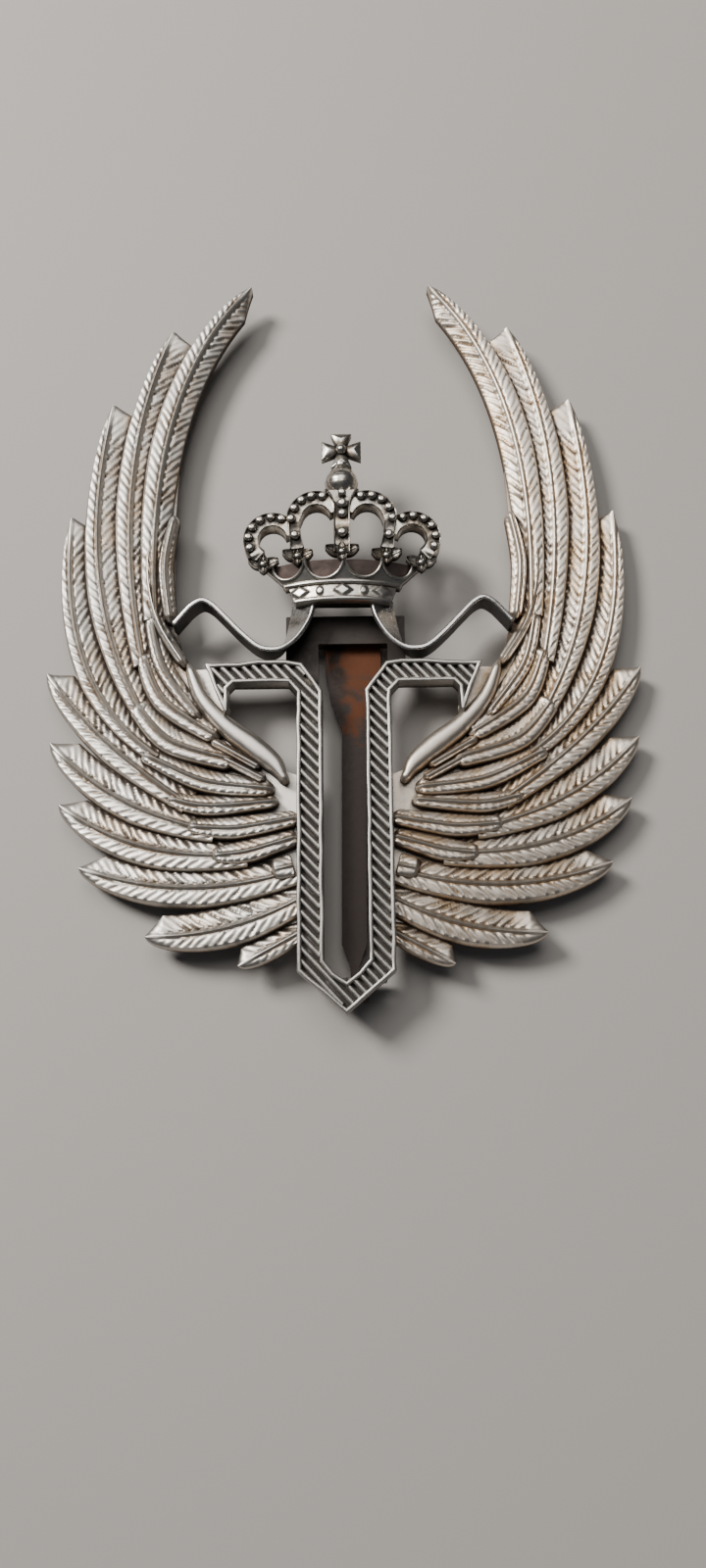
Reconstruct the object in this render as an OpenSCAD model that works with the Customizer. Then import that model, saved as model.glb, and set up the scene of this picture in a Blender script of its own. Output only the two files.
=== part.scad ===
// Pilot wings badge with a brooch fitting: two feathered wings, an openwork centre frame, two wavy
// ribbons and an arched crown on the face, and a hinged pin with a turning safety catch on the back.
// The badge lies on its back fittings: +Z is the face, +Y points to the crown, and X = 0 is its middle.

/* [Wings] */
// Width over the tips of the widest feathers
wing_span = 57; // [56:0.5:58]
// Height of the face above the table at the middle of the badge
face_z = 4.8; // [4.6:0.1:5]
// Thickness of a long feather at its root
feather_root_t = 1.9; // [1.7:0.1:2.1]
// Thickness of a long feather at its tip
feather_tip_t = 1.2; // [1:0.1:1.4]
// Height of the shaft that runs down each feather
shaft_h = 0.12; // [0.05:0.01:0.2]

/* [Centre frame] */
// Width of the open slot between the uprights
slot_w = 4; // [3.8:0.1:4.2]
// Width of each upright
upright_w = 2.4; // [2.2:0.1:2.6]
// Thickness of the frame under its raised rims
frame_t = 1.6; // [1.4:0.1:1.7]
// Width of the raised rims
rim_w = 0.38; // [0.3:0.02:0.45]
// Height of the raised rims over the hatched channel
rim_h = 0.55; // [0.4:0.05:0.7]
// Distance between neighbouring hatch ribs, along the upright
hatch_pitch = 1.1; // [1:0.1:1.4]

/* [Ribbons] */
// Width of the ribbon strip
ribbon_w = 3; // [2.6:0.1:3.2]
// Thickness of the ribbon strip
ribbon_t = 0.5; // [0.4:0.05:0.6]

/* [Crown] */
// Radius of the front curve of the crown's band
band_r = 12; // [11.5:0.1:12.5]
// Height of the band's front above the table
band_front_z = 6.6; // [6.4:0.1:6.8]
// Diameter of the pearls on the arches
pearl_d = 1.04; // [0.9:0.02:1.06]
// Diameter of the orb
orb_d = 3.2; // [3:0.1:3.4]
// Width of the cross
cross_w = 3.9; // [3.6:0.1:4.2]

/* [Brooch fitting] */
// Width of the pin at its hinge
pin_w = 5.3; // [5:0.1:5.4]
// Width of the long narrow part of the pin
blade_w = 2.3; // [2:0.1:2.4]
// Thickness of the pin
pin_t = 0.6; // [0.5:0.05:0.65]
// Diameter of the hinge rivet
rivet_d = 0.8; // [0.7:0.05:0.9]
// Radial clearance between the rivet and the pin, and between the catch and its turning ring
running_gap = 0.04; // [0.02:0.01:0.08]
// Outer diameter of the catch housing
catch_d = 2.6; // [2.4:0.1:2.7]

/* [Hidden] */
$fn = 48;
eps = 0.01;

// Wings
natural_span = 57.26;
wing_k = wing_span / natural_span;
facet_turn = 13;  // turn of the short feathers' facets about Z
// The face is domed: it falls away from the middle by these factors of the distance squared
DOME_X = 0.0030;
DOME_Y = 0.0006;
DOME_MID_Y = -5;
// Long feathers from the bottom of the wing round to its tip:
// root, bend and tip of the shaft, width inside it, width outside it, lift
LONG_FEATHERS = [
    [[3.6, -29.2], [7, -31], [9.8, -32.5], 1.3, 1.1, -0.5],
    [[3.6, -26.2], [10.5, -30], [18.3, -29.7], 1.9, 1.9, -0.25],
    [[4.6, -24.0], [15, -27], [24.7, -23.2], 1.9, 2.0, -0.2],
    [[9, -22.4], [19.5, -23], [26.8, -17.2], 1.9, 1.9, -0.15],
    [[12, -20.2], [21.8, -18.2], [27.9, -11.2], 2.0, 1.7, -0.1],
    [[14.5, -17.6], [23.8, -11.4], [28.5, -4.3], 2.0, 1.6, -0.05],
    [[17.4, -13], [27.6, -6], [26.8, 12], 1.6, 1.3, 0],
    [[18.8, -9], [26.6, 4], [23, 24.2], 1.6, 1.5, 0.05],
    [[19, -4], [23.5, 16], [17, 32.2], 1.5, 1.6, 0.1],
    [[18.1, 6], [18.6, 26], [9, 36.9], 1.5, 1.8, 0.15]
];
// Short plump feathers over the roots of the long ones, each a row of [x, y, width]
SHORT_FEATHERS = [
    [
        [14.6, -4.6, 0.9], [13.4, -7.6, 1.3], [11.2, -10.2, 1.6],
        [8.6, -12.3, 1.9], [6.6, -14, 1.6], [5.8, -15.2, 0.9]
    ],
    [[16.6, 0.6, 1.1], [17.2, 6, 1.3], [16.5, 10.8, 0.9]],
    [[15.2, -4, 0.9], [17.6, 0, 1], [18.7, 4, 1], [18.9, 7.4, 0.9]],
    [[13.6, -9.2, 1.3], [17, -4.4, 1.6], [18.3, 0.3, 1.4]],
    [[12, -11.2, 1.9], [16.9, -7.6, 2.3], [18.9, -3.4, 1.7]],
    [[10.5, -13.6, 2], [16.2, -11.6, 2.4], [19.3, -8.3, 2]],
    [[7, -16.4, 1.6], [13, -15.5, 2], [18.3, -13, 1.5]],
    [[6.5, -17.6, 1.2], [12.5, -17.9, 1.8], [16, -17.2, 1.3]],
    [[4.6, -19.2, 1.4], [10, -20, 2], [14, -19.8, 1.4]],
    [[4.6, -21, 1.5], [9, -22.2, 2], [11.8, -22.5, 1.4]],
    [[4.8, -23.6, 2], [6.6, -24, 1.9]],
    [[8, -14.3, 0.9], [12.2, -11.8, 0.9]],
    [[7.5, -15.5, 0.9], [11.4, -13.3, 0.9]]
];
SHORT_T = 2.2;
SHORT_LIFT = 0.3;
// Back plate that joins the roots of the feathers, and the thicker web beside the frame
joined_back_z = 2.4;
back_plate_top_z = 3.1;
web_top_z = 3.67;
BACK_PLATE = [
    [3, -31], [3, -16], [8, -13], [15, -4.4], [16.4, 1], [16.5, 12], [16, 22], [14, 30],
    [18, 29], [22, 20], [23, 4], [21.5, -7], [19, -14.5], [14, -20.5], [8, -25.5]
];
WEB = [
    [3, -31], [3, -15.5], [7.5, -13.8], [11, -10.2], [10.8, -8.4], [13.1, -4.4], [14.7, -4.4],
    [14.2, -8], [11.5, -13], [9, -17], [7, -24]
];
// Cross-section of a long feather: place from its inner to its outer edge, and height from its crest
FEATHER_PROFILE = [
    [-1, -0.6], [-0.55, -0.42], [-0.12, -0.3], [0, shaft_h],
    [0.12, -0.26], [0.6, 0], [0.86, -0.12], [1, -0.5]
];
FEATHER_STEPS = [0, 0.15, 0.3, 0.45, 0.6, 0.73, 0.84, 0.91, 0.96, 0.995];

// Centre frame
slot_x = slot_w / 2;
upright_x = slot_x + upright_w;
frame_z = 3;
frame_top_z = frame_z + frame_t;
arm_top_y = -4.4;
arm_low_y = -6.4;
arm_end_x = 13.1;
window_x = 10.9;
frame_tip_y = -37;
slot_tip_y = -34.1;
slot_point_h = 1.8;    // height of the point at the bottom of the slot
frame_point_h = 3.8;
slot_flare = 1.9;      // how far the slot widens at its top corners
slot_flare_y = -7.2;
arm_hook_y = -8.6;
window_corner = 0.8;
window_corner_y = -7.3;
hatch_angle = -42;
hatch_w = 0.36;
hatch_clear = 0.1;
hatch_share = 0.6;     // height of the hatching as a share of the rim's
hatch_from_y = -35.4;
hatch_to_y = 22.6;
hatch_start_x = -14;
hatch_len = 40;
// Feet under the arms that carry the ribbons
foot_x = 6.8;
foot_w = 2.6;
foot_depth = 1.6;
foot_t = 1;

// Ribbons: route of the strip's middle as [x, y, height, lean], where a lean of 90 stands it on edge
RIBBON_ROUTE = [
    [3.8, 1.7, 5, 35], [4.1, 0.2, 4.9, 42], [4.9, -1.6, 4.7, 60], [5.8, -2.7, 4.55, 78],
    [6.8, -3.1, 4.5, 90], [7.9, -2.8, 4.5, 90], [9.4, -1.5, 4.5, 90], [11, 0.2, 4.5, 90],
    [12.2, 1.4, 4.5, 90], [13.3, 1.9, 4.5, 90], [14.4, 1.4, 4.4, 90], [15.5, 0.3, 4.2, 90],
    [16.2, -0.5, 4.1, 90]
];
RIBBON_STEPS = 3;

// Crown
leaf_x = 0.93;   // outer leaves of an arch foot from its middle
leaf_r = 0.8;
leaf_mid_r = 0.7;
leaf_squash = [0.95, 0.8, 0.9];
leaf_block = [1.74, 0.87, 0.71];
band_z = band_front_z - band_r;
band_y = 1.1;
rim_y = 2.8;
panel_y = 3.3;
crown_feet_y = 5;
panel_flare = 0.8;
panel_t = 0.7;
// Scalloped fields of the panel: middle and radius
FIELDS = [[-5.15, 5.1, 1.5], [-1.85, 5.2, 1.75], [1.85, 5.2, 1.75], [5.15, 5.1, 1.5]];
field_rim = 0.28;
// Jewels along the band, each height worked out from the band's curve
jewel_y = 2.15;
jewel_t = 1.4;
jewel_fall = 0.17;
LOZENGE = [[-1.1, 0], [0, -0.45], [1.1, 0], [0, 0.45]];
lozenge_x = 3.9;
bead_x = 2;
bead_d = 0.7;
// Arches: middle of each arc, its radii and the circle its pearls stand on
INNER_ARC = [2.45, 9.05];
INNER_RADII = [1.55, 2.65];
OUTER_ARC = [6.65, 7.6];
OUTER_RADII = [1.4, 2.6];
pearl_r = 2.2;
pearl_turn = 29;
inner_arc_z = 5.5;
inner_pearl_z = 7.2;
outer_arc_z = 4.4;
outer_pearl_z = 6;
// Orb and cross
orb_y = 13.3;
orb_z = 6.4;
neck_r = 0.6;
collar_r = 1.3;
cross_y = 16.6;
cross_z = 5.8;
cross_t = 1.1;
cross_bite_r = 1.15;

// Brooch fitting
hinge_x = 0.9;
hinge_y = -0.5;
hinge_z = 1.15;
barrel_r = 0.95;
ear_t = 0.8;
ear_gap = 0.06;
plate_z = 2.5;
pin_z = 1.1;
shoulder_y = -10;
taper_y = -30.5;
point_y = -32.6;
pin_tip_y = -35.3;
point_w = 0.75;
rivet_head_r = 0.75;
rivet_head_t = 0.3;
// Hinge plate: a plate across the arms with two legs, its left leg wider than the right
plate_left_x = -5.5;
plate_right_x = 5.9;
plate_top_y = 0.9;
plate_leg_y = -5.8;
plate_notch_y = -1.9;
left_leg_w = 3.1;
right_leg_w = 1.7;
catch_x = 0.7;
catch_z = 1.4;
catch_low_y = -35.7;
catch_high_y = -34.1;
ring_r = 0.9;
ring_bore_r = 0.5;
flange_r = 1.2;
flange_t = 0.5;
lug_w = 1.6;
tab_w = 0.9;
catch_slot_w = 0.86;
tab_reach = 2.5;

function lerp(a, b, t) = a + (b - a) * t;
function unit(v) = v / norm(v);
function left_of(v) = [-v[1], v[0]];
function bezier(f, t) = (1 - t) * (1 - t) * f[0] + 2 * t * (1 - t) * f[1] + t * t * f[2];
function bezier_way(f, t) = unit((1 - t) * (f[1] - f[0]) + t * (f[2] - f[1]));
function dome(p) = face_z - DOME_X * pow(p[0], 2) - DOME_Y * pow(p[1] - DOME_MID_Y, 2);

// The inner vane is cut off slantwise at the tip, and the outer vane runs out to the point
function inner_taper(t) = (0.75 + 0.25 * min(1, 3 * t)) * min(1, (1.02 - t) / 0.13);
function outer_taper(t) = (0.7 + 0.3 * min(1, 2.5 * t)) * sqrt(1 - pow(max(0, (t - 0.3) / 0.7), 2.5));

// One cross-section of a long feather at the fraction t of its shaft
function feather_ring(f, t) =
    let (
        mid = bezier(f, t),
        side = left_of(bezier_way(f, t)),
        inner = f[3] * inner_taper(t),
        outer = f[4] * outer_taper(t),
        crest = dome(mid) + f[5],
        back = dome(mid) - lerp(feather_root_t, feather_tip_t, t),
        edge = function (s) mid - side * s * (s < 0 ? inner : outer)
    )
    concat(
        [for (s = FEATHER_PROFILE) [edge(s[0])[0], edge(s[0])[1], crest + s[1]]],
        [for (s = [1, -1]) [edge(s)[0], edge(s)[1], back]]
    );

// A closed skin over rings that all have the same number of points
module skin(rings) {
    n = len(rings[0]);
    last = n * (len(rings) - 1);
    polyhedron(
        points = [for (ring = rings) each ring],
        faces = concat(
            [[for (i = [0 : n - 1]) i]],
            [for (j = [0 : n : last - 1], i = [0 : n - 1])
                each [[j + i, j + n + i, j + n + (i + 1) % n], [j + i, j + n + (i + 1) % n, j + (i + 1) % n]]],
            [[for (i = [n - 1 : -1 : 0]) last + i]]
        ),
        convexity = 6
    );
}

module long_feather(f) {
    skin([for (t = FEATHER_STEPS) feather_ring(f, t)]);
}

module drop(p) {
    translate([p[0], p[1], dome(p) + SHORT_LIFT - SHORT_T / 2])
        scale([p[2], p[2], SHORT_T])
            rotate([0, 0, facet_turn]) sphere(d = 1, $fn = 10);
}

module short_feather(points) {
    for (i = [0 : len(points) - 2])
        hull() {
            drop(points[i]);
            drop(points[i + 1]);
        }
}

module flat(z0, z1, points) {
    translate([0, 0, z0])
        linear_extrude(z1 - z0)
            polygon(points);
}

module half_wing() {
    difference() {
        scale([wing_k, 1, 1]) {
            for (f = LONG_FEATHERS) long_feather(f);
            for (points = SHORT_FEATHERS) short_feather(points);
            flat(joined_back_z, back_plate_top_z, BACK_PLATE);
            flat(joined_back_z, web_top_z, WEB);
        }
        translate([0, 0, -1])
            linear_extrude(10)
                frame_outline();
        translate([-1, -40, -1])
            cube([1 + upright_x, 33, 10]);
    }
}

module right_wing() {
    color([0.72, 0.68, 0.6]) half_wing();
}

module left_wing() {
    color([0.72, 0.7, 0.66]) mirror([1, 0, 0]) half_wing();
}

// Right half of the frame's outline, from the bottom of the slot round to the tip
function frame_half() = [
    [slot_x, slot_tip_y + slot_point_h], [slot_x, slot_flare_y], [slot_x + slot_flare, arm_top_y],
    [arm_end_x, arm_top_y], [window_x, arm_hook_y], [window_x, arm_low_y],
    [upright_x + window_corner, arm_low_y], [upright_x, window_corner_y],
    [upright_x, frame_tip_y + frame_point_h]
];

module frame_outline() {
    half = frame_half();
    other = [for (i = [len(half) - 1 : -1 : 0]) [-half[i][0], half[i][1]]];
    polygon(concat([[0, slot_tip_y]], half, [[0, frame_tip_y]], other));
}

module hatch() {
    intersection() {
        offset(delta = -rim_w - hatch_clear) frame_outline();
        for (y = [hatch_from_y : hatch_pitch : hatch_to_y])
            translate([hatch_start_x, y])
                rotate(hatch_angle)
                    square([hatch_len, hatch_w]);
    }
}

module centre_frame() {
    color([0.6, 0.58, 0.54]) {
        translate([0, 0, frame_z])
            linear_extrude(frame_t)
                frame_outline();
        translate([0, 0, frame_top_z - eps])
            linear_extrude(rim_h + eps)
                difference() {
                    frame_outline();
                    offset(delta = -rim_w) frame_outline();
                }
        translate([0, 0, frame_top_z - eps])
            linear_extrude(hatch_share * rim_h + eps)
                hatch();
        for (side = [-1, 1])
            translate([side * foot_x - foot_w / 2, arm_top_y - 0.5, frame_z])
                cube([foot_w, foot_depth, foot_t]);
    }
}

// A point on the ribbon's route between two of its named points, on a smooth curve through them all
function spline(a, b, c, d, t) =
    0.5 * (2 * b + (c - a) * t + (2 * a - 5 * b + 4 * c - d) * t * t + (3 * b - a - 3 * c + d) * t * t * t);
function route_point(i) = RIBBON_ROUTE[max(0, min(len(RIBBON_ROUTE) - 1, i))];
function on_route(u) =
    let (i = min(floor(u), len(RIBBON_ROUTE) - 2))
    spline(route_point(i - 1), route_point(i), route_point(i + 1), route_point(i + 2), u - i);

function ribbon_ring(u) =
    let (
        p = on_route(u),
        ahead = on_route(u + 0.02) - on_route(max(0, u - 0.02)),
        inward = left_of(unit([ahead[0], ahead[1]])),
        wide = [-inward[0] * cos(p[3]), -inward[1] * cos(p[3]), sin(p[3])] * ribbon_w / 2,
        thick = [inward[0] * sin(p[3]), inward[1] * sin(p[3]), cos(p[3])] * ribbon_t / 2,
        mid = [p[0], p[1], p[2]]
    )
    [mid - wide + thick, mid + wide + thick, mid + wide - thick, mid - wide - thick];

module half_ribbon() {
    last = (len(RIBBON_ROUTE) - 1) * RIBBON_STEPS;
    skin([for (i = [0 : last]) ribbon_ring(i / RIBBON_STEPS)]);
}

module ribbon_right() {
    color([0.76, 0.74, 0.7]) half_ribbon();
}

module ribbon_left() {
    color([0.76, 0.74, 0.7]) mirror([1, 0, 0]) half_ribbon();
}

// A band bent round an upright axis behind the crown, from points [distance from the axis, y]
module bent_band(points) {
    translate([0, 0, band_z])
        rotate([-90, 0, 0])
            rotate_extrude($fn = 96)
                polygon(points);
}

module crown_front(bottom_w, top_w, y0, y1) {
    flat(0, 12, [[-bottom_w / 2, y0], [bottom_w / 2, y0], [top_w / 2, y1], [-top_w / 2, y1]]);
}

module crown_circlet() {
    r = band_r;
    color([0.66, 0.62, 0.55]) {
        intersection() {
            bent_band([[r - 1.4, band_y], [r + 0.1, band_y], [r + 0.1, band_y + 0.5], [r - 0.15, band_y + 0.6],
                [r - 0.15, rim_y - 0.1], [r + 0.25, rim_y], [r + 0.25, panel_y], [r - 1.4, panel_y]]);
            crown_front(9, 11.4, band_y - eps, panel_y + eps);
        }
        difference() {
            intersection() {
                bent_band([[r - panel_t, panel_y - 0.1], [r, panel_y - 0.1],
                    [r + panel_flare, crown_feet_y], [r + panel_flare - panel_t, crown_feet_y]]);
                crown_front(11.1, 14.4, panel_y - 0.1, crown_feet_y + eps);
            }
            for (f = FIELDS) translate([f[0], f[1], 0]) cylinder(r = f[2] - field_rim, h = 12);
        }
        for (x = [-lozenge_x, 0, lozenge_x])
            translate([x, jewel_y, band_front_z - jewel_t])
                linear_extrude(jewel_t - abs(x) * jewel_fall)
                    polygon(LOZENGE);
        for (x = [-bead_x, bead_x])
            translate([x, jewel_y, band_front_z - jewel_t])
                cylinder(d = bead_d, h = 1.25);
    }
}

module crown_lining() {
    r = band_r - panel_t;
    color([0.5, 0.42, 0.38])
        intersection() {
            bent_band([[r - 0.5, panel_y], [r, panel_y], [r + panel_flare, crown_feet_y + 0.1],
                [r + panel_flare - 0.5, crown_feet_y + 0.1]]);
            crown_front(11, 13.6, panel_y, crown_feet_y + 0.1);
        }
}

function on_arc(mid, a, z) = [mid[0] + pearl_r * cos(a), mid[1] + pearl_r * sin(a), z];

module pearls(points) {
    for (p = points) translate(p) sphere(d = pearl_d);
}

// A foot of three leaves at the bottom of an arch, cut in flat facets
module leaf_foot(p) {
    translate(p) {
        for (x = [-leaf_x, leaf_x])
            translate([x, 0.07, 0])
                rotate([0, 0, 12 * x])
                    scale(leaf_squash)
                        sphere(r = leaf_r, $fn = 12);
        translate([0, -0.3, 0.12]) sphere(r = leaf_mid_r, $fn = 12);
        translate([-leaf_block[0] / 2, -0.3, -0.47]) cube(leaf_block);
    }
}

// A flat strip bent to an arc round a middle, from one angle to another
module arc_strip(mid, r_in, r_out, from, to, depth) {
    gap_mid = (from + to) / 2 + 180;
    half_gap = (360 - to + from) / 2;
    translate(mid)
        linear_extrude(depth)
            difference() {
                circle(r = r_out);
                circle(r = r_in);
                polygon([[0, 0], for (a = [-1, -0.33, 0.33, 1])
                    2 * r_out * [cos(gap_mid + a * half_gap), sin(gap_mid + a * half_gap)]]);
            }
}

module crown_arch_centre() {
    color([0.72, 0.69, 0.63]) {
        translate([-0.85, 6.1, 6.3]) cube([1.7, 5.9, 1.5]);
        leaf_foot([0, 5.75, 7.3]);
        pearls([[0, 7.5, 7.8], [0, 9.3, 7.9], [0, 10.5, 7.8], [0, 11.6, 7.6]]);
    }
}

module half_inner_arch() {
    arc_strip(concat(INNER_ARC, inner_arc_z), INNER_RADII[0], INNER_RADII[1], -8, 128, 1.8);
    flat(5.6, 7.2, [[4.08, 9.3], [4.96, 9.3], [4.65, 6.1], [3.75, 6.1]]);
    leaf_foot([4.2, 5.7, 6.6]);
    pearls([for (a = [14 : pearl_turn : 118]) on_arc(INNER_ARC, a, inner_pearl_z)]);
    pearls([[4.4, 7.5, 7.15]]);
}

module crown_arch_inner_right() {
    color([0.72, 0.69, 0.63]) half_inner_arch();
}

module crown_arch_inner_left() {
    color([0.72, 0.69, 0.63]) mirror([1, 0, 0]) half_inner_arch();
}

module half_outer_arch() {
    arc_strip(concat(OUTER_ARC, outer_arc_z), OUTER_RADII[0], OUTER_RADII[1], -55, 140, 1.7);
    leaf_foot([7.6, 5.2, 5.5]);
    pearls([for (a = [-25 : pearl_turn : 120]) on_arc(OUTER_ARC, a, outer_pearl_z)]);
}

module crown_arch_outer_right() {
    color([0.72, 0.69, 0.63]) half_outer_arch();
}

module crown_arch_outer_left() {
    color([0.72, 0.69, 0.63]) mirror([1, 0, 0]) half_outer_arch();
}

module crown_orb() {
    color([0.75, 0.72, 0.66])
        translate([0, orb_y, orb_z]) {
            sphere(d = orb_d);
            rotate([90, 0, 0]) cylinder(r1 = collar_r, r2 = neck_r, h = 2);
            rotate([-90, 0, 0]) cylinder(r = neck_r, h = 1.9);
        }
}

module crown_cross() {
    color([0.7, 0.67, 0.62])
        translate([0, cross_y, cross_z]) {
            linear_extrude(cross_t)
                difference() {
                    square([cross_w, cross_w - 0.3], center = true);
                    for (x = [-1, 1], y = [-1, 1])
                        translate([x * 1.62, y * 1.55]) circle(r = cross_bite_r);
                }
            translate([0, 0, cross_t]) sphere(r = 0.55);
        }
}

module hinge_plate() {
    color([0.45, 0.38, 0.32])
        flat(plate_z, frame_z, [
            [plate_left_x, plate_leg_y], [plate_left_x, plate_top_y],
            [plate_right_x, plate_top_y], [plate_right_x, plate_leg_y],
            [plate_right_x - right_leg_w, plate_leg_y], [plate_right_x - right_leg_w, plate_notch_y],
            [plate_left_x + left_leg_w, plate_notch_y], [plate_left_x + left_leg_w, plate_leg_y]
        ]);
}

module ear(x) {
    translate([x, hinge_y, hinge_z])
        rotate([0, 90, 0]) {
            difference() {
                union() {
                    cylinder(r = hinge_z, h = ear_t);
                    translate([hinge_z - plate_z, -hinge_z, 0]) cube([plate_z - hinge_z, 2 * hinge_z, ear_t]);
                }
                translate([0, 0, -1]) cylinder(d = rivet_d, h = ear_t + 2);
            }
        }
}

module hinge_bracket() {
    inside = pin_w / 2 + ear_gap;
    color([0.42, 0.36, 0.31]) {
        for (x = [hinge_x - inside - ear_t, hinge_x + inside]) ear(x);
        translate([hinge_x - inside - ear_t, hinge_y - hinge_z, plate_z - 0.3])
            cube([2 * (inside + ear_t), 2 * hinge_z, 0.3]);
    }
}

module hinge_rivet() {
    reach = pin_w / 2 + ear_gap + ear_t;
    color([0.4, 0.36, 0.33])
        translate([hinge_x, hinge_y, hinge_z])
            rotate([0, 90, 0]) {
                cylinder(d = rivet_d, h = 2 * reach, center = true);
                for (side = [-1, 1])
                    translate([0, 0, side * (reach + rivet_head_t / 2)])
                        cylinder(r = rivet_head_r, h = rivet_head_t, center = true);
            }
}

module brooch_pin() {
    half = pin_w / 2;
    tip_shift = catch_x - hinge_x;
    blade = blade_w / 2;
    color([0.42, 0.38, 0.35])
        translate([hinge_x, 0, 0])
            difference() {
                union() {
                    translate([0, 0, pin_z])
                        linear_extrude(pin_t)
                            polygon([
                                [half, hinge_y], [half, -4.5], [half - 0.5, -7.5], [blade, shoulder_y],
                                [blade + tip_shift, taper_y], [point_w / 2 + tip_shift, point_y],
                                [point_w / 2 + tip_shift, pin_tip_y + 0.4], [tip_shift, pin_tip_y],
                                [tip_shift - point_w / 2, pin_tip_y + 0.4], [tip_shift - point_w / 2, point_y],
                                [tip_shift - blade, taper_y], [-blade, shoulder_y], [-half + 0.5, -7.5],
                                [-half, -4.5], [-half, hinge_y]
                            ]);
                    translate([0, hinge_y, hinge_z])
                        rotate([0, 90, 0]) cylinder(r = barrel_r, h = pin_w, center = true);
                }
                translate([0, hinge_y, hinge_z])
                    rotate([0, 90, 0]) cylinder(r = rivet_d / 2 + running_gap, h = pin_w + 2, center = true);
            }
}

module along_y(x, z, y0, y1) {
    translate([x, y0, z]) rotate([-90, 0, 0]) linear_extrude(y1 - y0) children();
}

module catch_housing() {
    color([0.48, 0.44, 0.4]) {
        along_y(catch_x, catch_z, catch_low_y, catch_high_y)
            difference() {
                union() {
                    circle(d = catch_d);
                    translate([-lug_w / 2, catch_z - frame_z]) square([lug_w, frame_z - catch_z]);
                }
                circle(r = ring_r + running_gap);
                translate([-catch_slot_w / 2, 0]) square([catch_slot_w, catch_d]);
            }
    }
}

module catch_ring() {
    flange_y = catch_high_y + 0.05;
    color([0.55, 0.51, 0.46]) {
        along_y(catch_x, catch_z, catch_low_y, flange_y + flange_t)
            difference() {
                circle(r = ring_r);
                circle(r = ring_bore_r);
                translate([-catch_slot_w / 2, 0]) square([catch_slot_w, catch_d]);
            }
        along_y(catch_x, catch_z, flange_y, flange_y + flange_t)
            difference() {
                union() {
                    circle(r = flange_r);
                    translate([0, -tab_w / 2]) square([tab_reach, tab_w]);
                    translate([tab_reach, 0]) circle(r = tab_w / 2);
                }
                circle(r = ring_bore_r);
                translate([-catch_slot_w / 2, 0]) square([catch_slot_w, catch_d]);
            }
    }
}

left_wing();
right_wing();
centre_frame();
ribbon_left();
ribbon_right();
crown_circlet();
crown_lining();
crown_arch_centre();
crown_arch_inner_left();
crown_arch_inner_right();
crown_arch_outer_left();
crown_arch_outer_right();
crown_orb();
crown_cross();
hinge_plate();
hinge_bracket();
hinge_rivet();
brooch_pin();
catch_housing();
catch_ring();
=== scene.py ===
import math
import bmesh
import bpy
from mathutils import Matrix, Vector, noise
from mathutils.bvhtree import BVHTree
from mathutils.geometry import intersect_line_line


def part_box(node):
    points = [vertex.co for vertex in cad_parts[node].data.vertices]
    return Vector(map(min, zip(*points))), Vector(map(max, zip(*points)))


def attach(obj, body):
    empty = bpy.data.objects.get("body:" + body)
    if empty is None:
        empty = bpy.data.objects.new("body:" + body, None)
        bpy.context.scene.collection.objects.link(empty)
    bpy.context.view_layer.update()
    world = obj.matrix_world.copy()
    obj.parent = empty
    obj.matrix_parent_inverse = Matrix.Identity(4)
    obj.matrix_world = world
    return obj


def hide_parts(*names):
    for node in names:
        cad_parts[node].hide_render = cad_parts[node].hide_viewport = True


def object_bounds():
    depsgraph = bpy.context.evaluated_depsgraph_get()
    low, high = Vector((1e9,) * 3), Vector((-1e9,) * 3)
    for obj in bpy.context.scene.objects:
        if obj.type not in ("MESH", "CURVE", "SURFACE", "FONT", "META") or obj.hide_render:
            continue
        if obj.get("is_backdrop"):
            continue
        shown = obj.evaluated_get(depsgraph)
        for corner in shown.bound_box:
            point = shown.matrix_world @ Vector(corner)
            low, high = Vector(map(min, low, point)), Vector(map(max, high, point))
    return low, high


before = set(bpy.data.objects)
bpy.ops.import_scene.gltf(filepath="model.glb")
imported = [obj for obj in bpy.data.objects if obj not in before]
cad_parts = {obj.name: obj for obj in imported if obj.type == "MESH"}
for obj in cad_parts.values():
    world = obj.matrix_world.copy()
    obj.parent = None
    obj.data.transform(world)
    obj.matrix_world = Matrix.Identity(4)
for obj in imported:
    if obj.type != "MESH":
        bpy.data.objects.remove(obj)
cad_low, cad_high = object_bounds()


# ---- The two wings ------------------------------------------------------------------------------
# Each wing is one silver casting: ten long flight feathers fan out from under short plump ones, and
# a plate joins their roots at the back. The face was cast with every shaft and barb, then polished
# on its high places; black and brown tarnish stays in the cuts, and the feathers' steps, side walls
# and tucked-under inner vanes are darkened as painted shade. Everything is drawn in millimetres.
MM = 0.001
WING_SPREAD = (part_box("right_wing")[1][0] / MM) / 28.63
FACE_Z = 4.8
GRAIN = 0.125

# Root, bend and tip of each shaft, the vane's width inside and outside it, its lift, and the length
# over which its inner vane is cut off at the tip
FLIGHT_FEATHERS = [
    ((3.6, -29.2), (7, -31), (9.8, -32.5), 1.3, 1.1, -0.5, 1.2),
    ((3.6, -26.2), (10.5, -30), (18.3, -29.7), 1.9, 1.9, -0.25, 1.7),
    ((4.6, -24.0), (15, -27), (24.7, -23.2), 1.9, 2.0, -0.2, 2.1),
    ((9, -22.4), (19.5, -23), (26.8, -17.2), 1.9, 1.9, -0.15, 2.1),
    ((12, -20.2), (21.8, -18.2), (27.9, -11.2), 2.0, 1.7, -0.1, 2.1),
    ((14.5, -17.6), (23.8, -11.4), (28.5, -4.3), 2.0, 1.6, -0.05, 1.9),
    ((17.4, -13), (27.6, -6), (26.8, 12), 1.7, 1.3, 0, 0.9),
    ((18.8, -9), (26.6, 4), (23, 24.2), 2.2, 1.5, 0.05, 0.9),
    ((19, -4), (23.5, 16), (17, 32.2), 2.2, 1.6, 0.1, 0.9),
    ((18, 0.5), (20, 25.3), (9, 36.9), 1.5, 1.8, 0.15, 4),
]
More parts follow.
